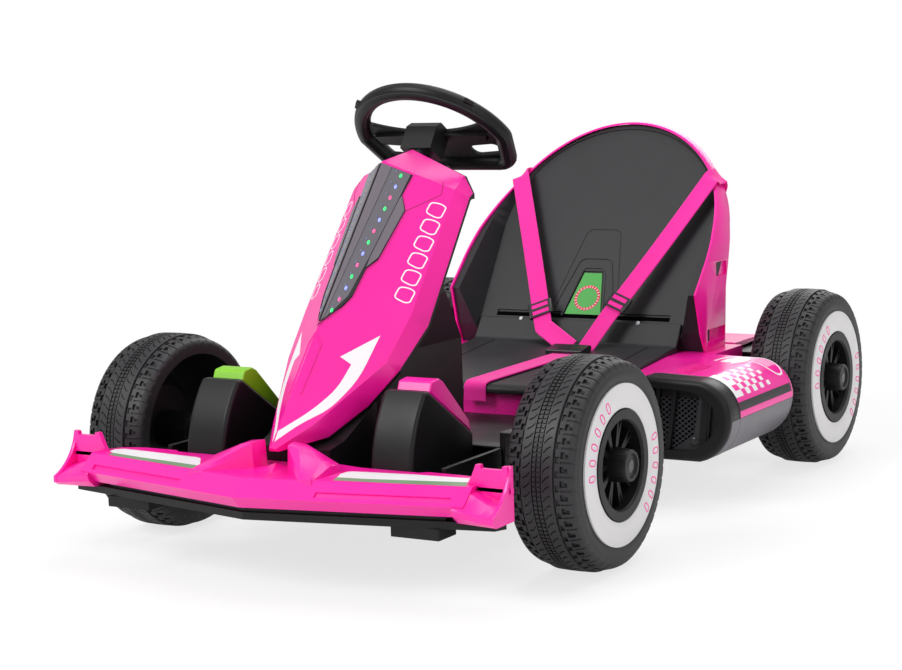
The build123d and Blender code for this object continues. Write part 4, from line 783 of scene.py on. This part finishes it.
class KART_OT_seat(bpy.types.Operator):
    """Moulded lines, plate frame, printed ring and screws of the backrest, and a near-black sheet of painted
    shade in its slot
    """
    bl_idname = "kart.seat"
    bl_label = "Seat"

    def execute(self, context):
        back = (SEAT_CREASE, ACROSS, BACK_UP, BACK_OUT)

        def whole(half, radius):
            """A softened line over the middle of the back from its half."""
            return put(back, soften(mirrored(half, -1) + list(reversed(half)), radius))

        lines = [bead(whole(half, 7), BACK_OUT, 1.5, height) for half, height in zip(PANEL_HALVES, (0.9, 0.5))]
        joined("back_panel_lines", lines, "black_gloss_plastic", "black_plastic")
        joined("plate_frame", [bead(whole(PLATE_FRAME, 4), BACK_OUT, 3.4, 1.0)], "black_textured_plastic",
               "black_plastic")
        # A near-black sheet in the slot across the back: painted shade
        plate("back_slot_shadow", BACK_SEAM, back, -0.3, 0.12, "slot_shadow", "black_plastic")
        disc = (put(back, [DISC_AT])[0], ACROSS, BACK_UP, BACK_OUT)
        turn = np.linspace(0, 2 * math.pi, 48, endpoint=False)
        ring = put(disc, DISC_R * np.stack([np.cos(turn), np.sin(turn)], -1), -0.32)
        ring = bead(ring, BACK_OUT, 4.0, 0.3, closed=True, sink=0.2)
        joined("roundel_ring", [ring], "red_print", "plate_green")
        ticks = [bead(put(disc, np.outer(TICK_R, (math.cos(a), math.sin(a)))), BACK_OUT, 0.8, 0.15, sink=0.2)
                 for a in np.radians(np.arange(0, 360, 15))]
        joined("roundel_ticks", ticks, "white_vinyl", "plate_green")
        screws = [button(at, BACK_OUT, 3.2, 1.6) for at in put(back, [(-90.0, 27.5), (90.0, 27.5)], 4.3)]
        joined("seat_screws", screws, "zinc_plated_steel", "axle_steel")
        seams = [bead([(x, 20.0, 147.6), (x, 120.0, 157.5), (x, 226.0, 168.2)], (0, -0.1, 1), 1.6, 0.7)
                 for x in (-118.0, 118.0)]
        joined("pan_lines", seams, "black_textured_plastic", "black_plastic")
        return {"FINISHED"}


# Pods. On the rounded shell a place is a distance back, y, and a distance round from the split line, u.

# The grille's opening, the cheek beside it and the cheek's slot, seen from the front
MESH_REGION = ((219.4, 137.0), (277.0, 136.6), (267.5, 94.0), (241.0, 73.0), (219.4, 73.0))
CHEEK = ((279.5, 148.0), (291.0, 141.0), (285.0, 80.0), (272.0, 74.5), (244.0, 74.0), (270.5, 92.0))
CHEEK_HIGH = 4.0
VENT = ((289.5, 138.0), (283.0, 82.0))
# The mesh: a point that a strand of each family goes through, how far it reaches either way before it is
# clipped, the step to the next strand, and how they lean
STRANDS_FROM = np.array([219.0, 105.0])
STRAND_REACH = 120
STRAND_STEP = np.array([8.4, 0.0])
STRAND_LEAN = (0.80, 0.60)
# White steps beside the frame: lowest and highest distance round the pod, and how far back each reaches
STEPS = ((25.5, 34.0, 88.0), (34.0, 42.6, 74.0), (42.6, 51.2, 91.0), (51.2, 59.8, 78.0), (59.8, 67.5, 96.0),
         (67.5, 70.6, 82.0))
# The checker's cells: their length and height, and where the first row lies
CELL = 11.0
CELL_HIGH = 8.6
CHECKER_FROM = 25.5
LOOP = ((176, 88), (196, 84), (199, 66), (199, 46), (210, 33.5), (224, 34), (230.5, 46), (231, 66), (229, 92),
        (222, 112), (184, 116))
LOOP_FILL = ((204, 227), (50, 108))
SIDE_BAND = ((POD_SEAM_Y + 1.5, 237.0), (8.6, 19.4))
TOP_PATCH = ((262, 166), (258, 180), (244, 176), (240, 188), (226, 184), (226, 226), (262, 228), (272, 206),
             (272, 186))


def pod_skin(side, y, u, lift=0.0):
    """Points and normals on a pod's rounded shell. Its outline is two circle arcs and a flat top, the
    normal is the outline's direction turned a quarter, and near the tail the surface draws in by
    r - sqrt(r^2 - d^2) for the tail's radius r."""
    top, low, out = POD_TOP_Z, POD_BOTTOM_Z, POD_OUT_X
    outline = np.concatenate([
        arc((out - 42, low), (out - 11, low + 21), (out, POD_WIDEST_Z), 60)[:-1],
        arc((out, POD_WIDEST_Z), (out - 13, top - 16), (out - 42, top - 2), 60)[:-1],
        np.linspace((out - 42, top - 2), (POD_IN_X, top), 40)])
    run = np.concatenate([[0], np.cumsum(np.linalg.norm(np.diff(outline, axis=0), axis=1))])
    run -= run[np.argmin(abs(outline[:, 1] - POD_SPLIT_Z) + (outline[:, 0] < out - 30) * 999.0)]
    u, y = np.broadcast_arrays(np.asarray(u, float), np.asarray(y, float))

    def at(distance):
        """Points of the outline at distances along it."""
        return np.stack([np.interp(distance, run, outline[:, i]) for i in (0, 1)])

    (x, z), (dx, dz) = at(u), at(u + 0.5) - at(u - 0.5)
    length = np.hypot(dx, dz)
    flat = np.stack([side * dz / length, np.zeros(u.shape), -dx / length], -1)
    d = np.clip(y - (POD_BACK_Y - POD_TAIL_R), 0, POD_TAIL_R - 0.5)[..., None]
    drop = POD_TAIL_R - np.sqrt(POD_TAIL_R ** 2 - d ** 2)
    lean = d / POD_TAIL_R
    normal = flat * np.sqrt(1 - lean ** 2) + lean * np.array([0.0, 1.0, 0.0])
    return np.stack([side * x, y, z], -1) - drop * flat + lift * normal, normal


def pod_patch(side, y, u, lift=0.28, rows=5):
    """A printed patch between two distances back and two distances round the pod."""
    grid_u, grid_y = np.meshgrid(np.linspace(*u, rows), np.linspace(*y, max(2, int((y[1] - y[0]) / 8))),
                                 indexing="ij")
    return slab(*pod_skin(side, grid_y, grid_u), lift, 0.2)


def pod_band(side, y, u, sink=0.2):
    """A printed band round the pod from a row of distances back at each distance round."""
    return slab(*pod_skin(side, y, np.reshape(u, (-1, 1))), 0.3, sink)


def pod_line(side, pairs, width, height=0.28, radius=8.0):
    """A printed or raised line over the pod through pairs of distance back and distance round."""
    path = soften(pairs, radius, count=7)
    share = np.linspace(0, len(path) - 1, 3 * len(path))
    path = np.stack([np.interp(share, np.arange(len(path)), path[:, i]) for i in (0, 1)], -1)
    points, normals = pod_skin(side, path[:, 0], path[:, 1])
    return bead(points, normals, width, height, sink=0.25)


def clipped(a, b, region):
    """The share of the segment from a to b inside a convex region, as two shares or None: each side of the
    region cuts off the part beyond it."""
    low, high = 0.0, 1.0
    centre = np.mean(region, axis=0)
    for p, q in zip(region, region[1:] + region[:1]):
        n = np.array([q[1] - p[1], p[0] - q[0]])
        if n @ (centre - p) < 0:
            n = -n
        start, rate = n @ (a - p), n @ (b - a)
        if abs(rate) < 1e-9:
            if start < 0:
                return None
        elif rate > 0:
            low = max(low, -start / rate)
        else:
            high = min(high, -start / rate)
    return (low, high) if high - low > 1e-3 else None


class KART_OT_pods(bpy.types.Operator):
    """Diamond mesh, ribs, checker print, stripes and seams of the side pods"""
    bl_idname = "kart.pods"
    bl_label = "Side pods"

    def execute(self, context):
        for side_name, side in SIDES:
            self.grille(side_name, side)
            white = [pod_patch(side, (POD_SEAM_Y + 0.4, back), (low, high)) for low, high, back in STEPS]
            for row in range(5):
                u = CHECKER_FROM + CELL_HIGH * row
                for k in range(4):
                    y = (100.0 if row % 2 == 0 else 89.0) + 2 * CELL * k
                    shrink = 0.6 * max(0, k - 1)
                    white.append(pod_patch(side, (y, y + CELL - 2 * shrink),
                                           (u + shrink, u + CELL_HIGH - shrink), rows=3))
            white.append(pod_line(side, LOOP, 3.0))
            joined(f"checker_{side_name}", white, "white_vinyl", "pink_plastic")
            joined(f"loop_fill_{side_name}", [pod_patch(side, *LOOP_FILL, lift=0.16, rows=9)],
                   "blush_vinyl", "pink_plastic")
            top = ((0, 0, POD_TOP_Z - 1.35), ACROSS, (0, 1, 0), (0, 0, 1))
            plate(f"top_patch_{side_name}", mirrored(TOP_PATCH, side), top, -1.2, 0.35, "white_vinyl",
                  "pink_plastic")
            joined(f"side_band_{side_name}", [pod_patch(side, *SIDE_BAND, rows=4)], "black_vinyl", "pink_plastic")
            tail_u = np.linspace(1.5, 62, 14)
            tail_y = np.array([240.0, 242.5, 244.5]) + np.outer(1 - tail_u / 62, (-5.0, -3.0, 0.0))
            joined(f"tail_band_{side_name}", [pod_band(side, tail_y, tail_u)], "white_vinyl", "pink_plastic")
            frame_y = (39.0, 50.0, POD_SEAM_Y - 0.5)
            joined(f"frame_band_{side_name}", [pod_band(side, frame_y, np.linspace(-66, -0.4, 16), sink=0.3)],
                   "grey_satin_plastic", "grey_plastic")
            seams = [pod_line(side, [(POD_SEAM_Y + 0.1, u) for u in np.linspace(-68, 138, 30)], 0.9, 0.36, 0.1),
                     pod_line(side, [(y, 0.0) for y in np.linspace(40, 238, 20)], 0.7, 0.36, 0.1)]
            joined(f"pod_seams_{side_name}", seams, "black_gloss_plastic", "black_plastic")
            ribs = [bead([(side * (222.0 + 6.4 * i), y, POD_TOP_Z - 0.45 - 0.02 * i)
                          for y in np.linspace(92 - 5 * i, 150 - 3 * i, 6)], (0, 0, 1), 2.2, 0.9)
                    for i in range(5)]
            joined(f"top_ribs_{side_name}", ribs, "pink_gloss_plastic", "pink_plastic")
        return {"FINISHED"}

    def grille(self, side_name, side):
        """Two families of slanting strands clipped to the opening over a near-black sheet of painted shade, the
        cheek beside it, its slot and screws.
        """
        n = (0, -1, 0)
        recess = ((0, POD_RECESS_Y, 0), ACROSS, (0, 0, 1), n)
        region = [np.array(p) for p in MESH_REGION]
        strands = []
        for lean, high in ((-1, 1.2), (1, 1.0)):
            along = np.array([lean * STRAND_LEAN[0], STRAND_LEAN[1]])
            for k in range(-14, 22):
                a = STRANDS_FROM + k * STRAND_STEP - STRAND_REACH * along
                b = a + 2 * STRAND_REACH * along
                found = clipped(a, b, region)
                if found:
                    ends = [a + share * (b - a) for share in found]
                    strands.append(bead(put(recess, mirrored(ends, side)), n, 1.3, high, sink=0.3))
        # A near-black sheet behind the strands: painted shade in the space behind the grille
        plate(f"grille_shadow_{side_name}", mirrored(MESH_REGION, side), recess, -0.3, 0.1, "slot_shadow",
              "black_plastic")
        joined(f"grille_mesh_{side_name}", strands, "grille_plastic", "black_plastic")
        plate(f"grille_cheek_{side_name}", mirrored(CHEEK, side), recess, -0.3, CHEEK_HIGH,
              "black_textured_plastic", "black_plastic", edge=1.5)
        vent = put(recess, mirrored(VENT, side), CHEEK_HIGH)
        rims = [bead(vent + (side * off, 0, 0), n, 1.4, 0.9) for off in (-3.0, 1.6)]
        joined(f"cheek_vent_{side_name}", rims, "black_gloss_plastic", "black_plastic")
        heads = [button(put(recess, [(side * x, z)], CHEEK_HIGH + 0.2)[0], n, r, 1.2)
                 for x, z, r in ((282.5, 139, 3.4), (268.5, 84, 5.0))]
        joined(f"pod_screws_{side_name}", heads, "black_gloss_plastic", "black_plastic")


# Wheels' rings and the steering wheel

# One dash on the ring, as (angle, radius), and the angles in degrees at which the dashes stand
DASH = ((-0.035, 80.5), (0.0, 81.8), (0.030, 81.0), (0.044, 76.5), (0.036, 70.8), (0.0, 69.6), (-0.030, 70.0),
        (-0.043, 74.5))
DASHES_AT = [start + 12.5 * i for start in (118.0, -48.0) for i in range(6)]
# Middle line of the grip, as (sideways, ahead): three points of its arc, and the corners of its foot
GRIP_ARC = ((-96.0, -16.0), (0.0, 67.0), (96.0, -16.0))
GRIP_FOOT = ((96.0, -16.0), (82.0, -66.0), (-82.0, -66.0), (-96.0, -16.0))
# Turns about the grip's middle line at which the parting lines run
GRIP_LINES = (-50.0, -128.0, 0.0)
# Screws of the steering wheel: sideways, ahead, and how far below the grip's middle
WHEEL_SCREWS = ((79.0, -11.5, 2.9), (-79.0, -11.5, 2.9), (3.2, -64.0, 9.8))


class KART_OT_trim(bpy.types.Operator):
    """Pink dashes on the white rings, parting lines and screws of the steering wheel"""
    bl_idname = "kart.trim"
    bl_label = "Trim"

    def execute(self, context):
        for wheel, side, axle_y in WHEELS:
            dashes = [self.dash(side, axle_y, math.radians(turn)) for turn in DASHES_AT]
            joined(f"ring_marks_{wheel}", dashes, "pink_gloss_plastic", "ring_white", f"wheel_{wheel}")
            nut = button((side * (WHEEL_X + CAP_OUT), axle_y, TYRE_R), (side, 0, 0), CAP_R, 1.6, sides=6)
            joined(f"cap_boss_{wheel}", [nut], "black_gloss_plastic", "rim_black", f"wheel_{wheel}")
        self.grip()
        return {"FINISHED"}

    def dash(self, side, axle_y, turn):
        """One slanted hollow dash on the ring, whose bulge stands out most half way across it."""
        a, r = np.array(DASH).T + [[turn], [0.0]]
        middle, half = (RING_OUT_R + RING_IN_R) / 2, (RING_OUT_R - RING_IN_R) / 2
        bulge = 4.5 - 2.5 * ((r - middle) / half) ** 2
        points = np.stack([side * (WHEEL_X + FACE + bulge), axle_y + r * np.cos(a), TYRE_R + r * np.sin(a)], -1)
        return bead(points, (side, 0, 0), 1.5, 0.35, closed=True, sink=0.3)

    def grip(self):
        """Parting lines along the grip and the screws of the steering wheel. The grip's middle line is an
        arc over two straight sides and a flat foot, and each line stands one grip radius off it."""
        wheel = (COLUMN_TOP, ACROSS, WHEEL_AHEAD, WHEEL_UP)
        path = put(wheel, np.concatenate([arc(*GRIP_ARC, 48), soften(GRIP_FOOT, 13.0)[1:-1]]), GRIP_LIFT)
        run = np.roll(path, -1, 0) - np.roll(path, 1, 0)
        run /= np.linalg.norm(run, axis=1)[:, None]
        out = np.cross(run, WHEEL_UP)
        out *= np.sign((out * (path - COLUMN_TOP)).sum(1))[:, None]
        ups = [math.cos(turn) * out + math.sin(turn) * WHEEL_UP for turn in np.radians(GRIP_LINES)]
        lines = [bead(path + (GRIP_R - 0.1) * up, up, 1.0, 0.35, closed=True) for up in ups]
        joined("grip_lines", lines, "black_gloss_plastic", "black_plastic", "steering")
        heads = [button(put(wheel, [(x, ahead)], GRIP_LIFT - below)[0], -WHEEL_UP, 3.6, 1.0)
                 for x, ahead, below in WHEEL_SCREWS]
        joined("wheel_screws", heads, "black_gloss_plastic", "black_plastic", "steering")


# Harness

def ribbon(name, route, normals, width, thick):
    """A flat strap along a route of points, with the side that faces out given at each point. The route
    is cut into steps of 4 mm, and a flat rounded profile is carried along it."""
    route, normals = np.asarray(route, float), np.asarray(normals, float)
    t = np.concatenate([[0], np.cumsum(np.linalg.norm(np.diff(route, axis=0), axis=1))])
    fine = np.linspace(0, t[-1], max(12, int(t[-1] / 4)))
    path, up = (np.stack([np.interp(fine, t, row) for row in values.T], -1) for values in (route, normals))
    run = np.gradient(path, axis=0)
    run /= np.linalg.norm(run, axis=1)[:, None]
    up -= np.einsum("ij,ij->i", up, run)[:, None] * run
    up /= np.linalg.norm(up, axis=1)[:, None]
    w, h = width / 2, thick / 2
    half = [(0, h * 0.85), (w - 3.2, h * 0.8), (w - 2.2, h * 1.15), (w - 0.5, h), (w, 0), (w - 0.5, -h)]
    profile = np.array(mirrored(half[4:0:-1], -1) + half + [(0, -h), (-w + 0.5, -h)])
    points = sweep(path, np.cross(run, up), up, profile)
    uv = np.stack(np.broadcast_arrays(fine[:, None], profile[None, :, 0]), -1).reshape(-1, 2)
    return outward(finish_mesh(name, points, capped(len(path), len(profile)), "pink_webbing", "webbing",
                               smooth=60, uv=uv))


# Widths of the tapes, and the share of the way from head to slide point at which the slide ends
SHOULDER_WIDE, CROTCH_WIDE = 26.0, 32.0
SLIDE_AT = 0.93
# The slide's windows: how far its middle lies before its end and off the back, how far a window's middle
# lies from that, half a window's height, and the width and thickness of the tape in it
SLIDE_HALF, SLIDE_OFF, WINDOW_SHIFT, WINDOW_HALF = 11.0, 2.0, 5.2, 3.1
WINDOW_TAPE = (24.6, 1.2)
# Head, slide and end of each shoulder strap
STRAP_POINTS = {1: ((150.0, 366.0, 383.0), (56.0, 226.0, 203.0), (39.5, 193.6, 164.8)),
                -1: ((-148.0, 366.0, 384.0), (-40.0, 226.0, 189.0), (16.7, 194.8, 167.0))}
# The shell's rounded rim that the straps bend over: its middle, as (y, z), and its radius
CREST_AT = (376.0, 271.0)
CREST_R = 189.2
# The bend over the rim, from behind: offsets from the crest, and the rim's share and the rearward and upward
# parts of the direction that faces out
BEND = (((-7.0, 20.5, -25.0), 0.0, 1.0, -0.2), ((-3.0, 22.5, -11.0), 0.0, 1.0, -0.1),
        ((0, 21.0, -1.5), 1.0, 1.0, 0.0), ((0, 16.0, 0.2), 1.0, 0.2, 0.0), ((0, 8.0, 0.4), 1.0, 0.0, 0.0),
        ((0, 0.5, -0.4), 1.0, -0.6, 0.0))
# The crotch strap, from the buckle down over the pan's edge: its points, and the side that faces out
CROTCH = (((26, 172, 166.0), (0, -0.1, 1)), ((26, 156, 163.2), (0, -0.1, 1)), ((12, 108, 158.4), (0, -0.1, 1)),
          ((-3, 56, 153.2), (0, -0.1, 1)), ((-15, 14, 148.9), (0, -0.1, 1)), ((-17, 6, 147.2), (0, -0.4, 0.9)),
          ((-17, 2.0, 144.2), (0, -0.75, 0.66)), ((-17, 0.6, 141.0), (0, -1, 0.1)),
          ((-17, 0.6, 124.5), (0, -1, 0)))


class KART_OT_harness(bpy.types.Operator):
    """Shoulder straps and crotch strap as woven tape, in place of their plain solids"""
    bl_idname = "kart.harness"
    bl_label = "Harness"

    def execute(self, context):
        thick = context.scene.kart.strap_thickness / MM
        straps = []
        for side_name, side in SIDES:
            head, slide, end = np.array(STRAP_POINTS[side])
            centre = np.array([0.0, *CREST_AT])
            rim = (head - centre) * (1, 0, 1)
            rim /= np.linalg.norm(rim)
            over = [centre + CREST_R * rim + (side * x, y, z) for (x, y, z), *_ in BEND]
            over_out = [share * rim + (0, back, up) for _, share, back, up in BEND]
            share = np.linspace(0.0, 1.0, 14)[:, None]
            run = head + share * (slide - head) - 2.0 * np.sin(share * math.pi) * BACK_OUT
            straps.append(ribbon(f"shoulder_strap_{side_name}", np.concatenate([over, run, [end]]),
                                 over_out + [BACK_OUT] * len(run) + [(0, -0.75, 0.66)], SHOULDER_WIDE, thick))
            self.windows(side_name, head, slide)
        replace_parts(straps[0], "shoulder_belts")
        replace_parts(ribbon("crotch_tape", *zip(*CROTCH), CROTCH_WIDE, thick), "crotch_strap")
        return {"FINISHED"}

    def windows(self, side_name, head, slide):
        """The tape as it shows through the slide's two windows."""
        run = (slide - head) / np.linalg.norm(slide - head)
        out = np.cross(run, ACROSS - run[0] * run)
        out /= np.linalg.norm(out)
        centre = head + SLIDE_AT * (slide - head) - SLIDE_HALF * run + SLIDE_OFF * out
        for name, shift in (("upper", -WINDOW_SHIFT), ("lower", WINDOW_SHIFT)):
            ends = [centre + (shift + d) * run for d in (-WINDOW_HALF, WINDOW_HALF)]
            ribbon(f"slide_tape_{name}_{side_name}", ends, [out, out], *WINDOW_TAPE)


# Stage

# The camera's place in metres, its turn in degrees, lens in millimetres and shift
CAMERA_AT = (1.2853, -2.1688, 0.5460)
CAMERA_YAW, CAMERA_PITCH, CAMERA_ROLL = 29.79, 7.14, -1.66
CAMERA_LENS, CAMERA_SHIFT = 80.80, (-0.0699, -0.0198)
# Name, place, width and power of the soft lights
LAMPS = (("key_light", (-1.2, -2.8, 2.6), 2.0, 92.0), ("fill_light", (3.0, -1.4, 1.8), 2.4, 22.0),
         ("top_light", (0.4, 0.6, 3.0), 2.6, 40.0), ("rear_light", (-0.6, 3.0, 1.8), 2.2, 28.0))
LIT_POINT = Vector((0, 0, 0.2))
# Strength of the surroundings as light, and the share of their white that a reflection sees
SOFT_LIGHT = 0.42
MIRRORED_WHITE = 0.25
WHITE = (1, 1, 1, 1)
FLOOR_HALF = 12


class KART_OT_stage(bpy.types.Operator):
    """Pale floor, soft lights, white surroundings and the camera"""
    bl_idname = "kart.stage"
    bl_label = "Stage"

    def execute(self, context):
        scene = context.scene
        scene.view_settings.view_transform = "Standard"
        self.world(scene)
        self.floor(scene)
        for name, place, size, power in LAMPS:
            data = bpy.data.lights.new(name, "AREA")
            data.shape = "DISK"
            data.size = size
            data.energy = power
            lamp = bpy.data.objects.new(name, data)
            lamp.location = place
            lamp.rotation_mode = "QUATERNION"
            lamp.rotation_quaternion = (LIT_POINT - Vector(place)).to_track_quat("-Z", "Y")
            scene.collection.objects.link(lamp)
        self.camera(scene)
        return {"FINISHED"}

    def shown_white(self, tree):
        """1 where the ray comes from the camera or a clear part, a small share for a reflection, else 0."""
        ray = add(tree, "ShaderNodeLightPath").outputs
        mirror = reckon(tree, "MULTIPLY", ray["Is Glossy Ray"], MIRRORED_WHITE)
        seen = reckon(tree, "MAXIMUM", ray["Is Camera Ray"], mirror)
        return reckon(tree, "MAXIMUM", seen, ray["Is Transmission Ray"])

    def world(self, scene):
        """White where it is seen, and a soft grey light otherwise."""
        world = bpy.data.worlds.new("studio")
        world.use_nodes = True
        tree = world.node_tree
        tree.nodes.clear()
        soft, white = (add(tree, "ShaderNodeBackground", {"Color": WHITE, "Strength": strength}).outputs[0]
                       for strength in (SOFT_LIGHT, 1.0))
        both = add(tree, "ShaderNodeMixShader", {0: self.shown_white(tree), 1: soft, 2: white})
        add(tree, "ShaderNodeOutputWorld", {"Surface": both.outputs[0]})
        scene.world = world

    def floor(self, scene):
        """A flat sheet whose own white is lifted where it is seen, and more so away from the kart, so that
        the shadow stays soft and pale."""
        material, tree, place = blank("pale_floor")
        tone = spread(tree, noise(tree, place, 1000 / 3, 2.0), 0.90, 0.93)
        grey = add(tree, "ShaderNodeCombineColor", {i: tone for i in range(3)})
        matt = add(tree, "ShaderNodeBsdfDiffuse", {"Color": grey.outputs[0]})
        white = add(tree, "ShaderNodeEmission", {"Color": WHITE, "Strength": 1.0})
        reach = add(tree, "ShaderNodeVectorMath", {0: place}, operation="LENGTH").outputs["Value"]
        share = reckon(tree, "MULTIPLY", self.shown_white(tree), spread(tree, reach, 0.74, 1.0, 0.75, 1.6))
        close(tree, add(tree, "ShaderNodeMixShader", {0: share, 1: matt.outputs[0], 2: white.outputs[0]}))
        mesh = bpy.data.meshes.new("floor")
        corners = [(x * FLOOR_HALF, y * FLOOR_HALF, 0) for x, y in ((-1, -1), (1, -1), (1, 1), (-1, 1))]
        mesh.from_pydata(corners, [], [(0, 1, 2, 3)])
        mesh.materials.append(material)
        floor = bpy.data.objects.new("floor", mesh)
        scene.collection.objects.link(floor)

    def camera(self, scene):
        """Camera from its place, yaw, pitch and roll: its back axis points from the kart to the lens."""
        a, e, roll = (math.radians(v) for v in (CAMERA_YAW, CAMERA_PITCH, CAMERA_ROLL))
        back = Vector((math.sin(a) * math.cos(e), -math.cos(a) * math.cos(e), math.sin(e)))
        level = Vector((math.cos(a), math.sin(a), 0))
        up = back.cross(level)
        right = math.cos(roll) * level + math.sin(roll) * up
        lift = -math.sin(roll) * level + math.cos(roll) * up
        data = bpy.data.cameras.new("camera")
        data.lens = CAMERA_LENS
        data.sensor_width = 36.0
        data.shift_x, data.shift_y = CAMERA_SHIFT
        camera = bpy.data.objects.new("camera", data)
        turn = Matrix((right, lift, back)).transposed().to_4x4()
        camera.matrix_world = Matrix.Translation(Vector(CAMERA_AT)) @ turn
        scene.collection.objects.link(camera)
        scene.camera = camera


OPERATORS = (KART_OT_finishes, KART_OT_tyres, KART_OT_cowl, KART_OT_wing, KART_OT_seat, KART_OT_pods,
             KART_OT_trim, KART_OT_harness, KART_OT_stage)


class KART_PT_panel(bpy.types.Panel):
    """Sidebar panel with the kart's settings and the steps that dress it"""
    bl_idname = "KART_PT_panel"
    bl_label = "Kart"
    bl_space_type = "VIEW_3D"
    bl_region_type = "UI"
    bl_category = "Kart"

    def draw(self, context):
        for name in KartSettings.__annotations__:
            self.layout.prop(context.scene.kart, name)
        for operator in OPERATORS:
            self.layout.operator(operator.bl_idname)


CLASSES = (KartSettings, *OPERATORS, KART_PT_panel)


def register():
    for cls in CLASSES:
        bpy.utils.register_class(cls)
    bpy.types.Scene.kart = PointerProperty(type=KartSettings)


def unregister():
    del bpy.types.Scene.kart
    for cls in reversed(CLASSES):
        bpy.utils.unregister_class(cls)


def main():
    register()
    for operator in OPERATORS:
        group, name = operator.bl_idname.split(".")
        getattr(getattr(bpy.ops, group), name)()


if __name__ == "__main__":
    main()
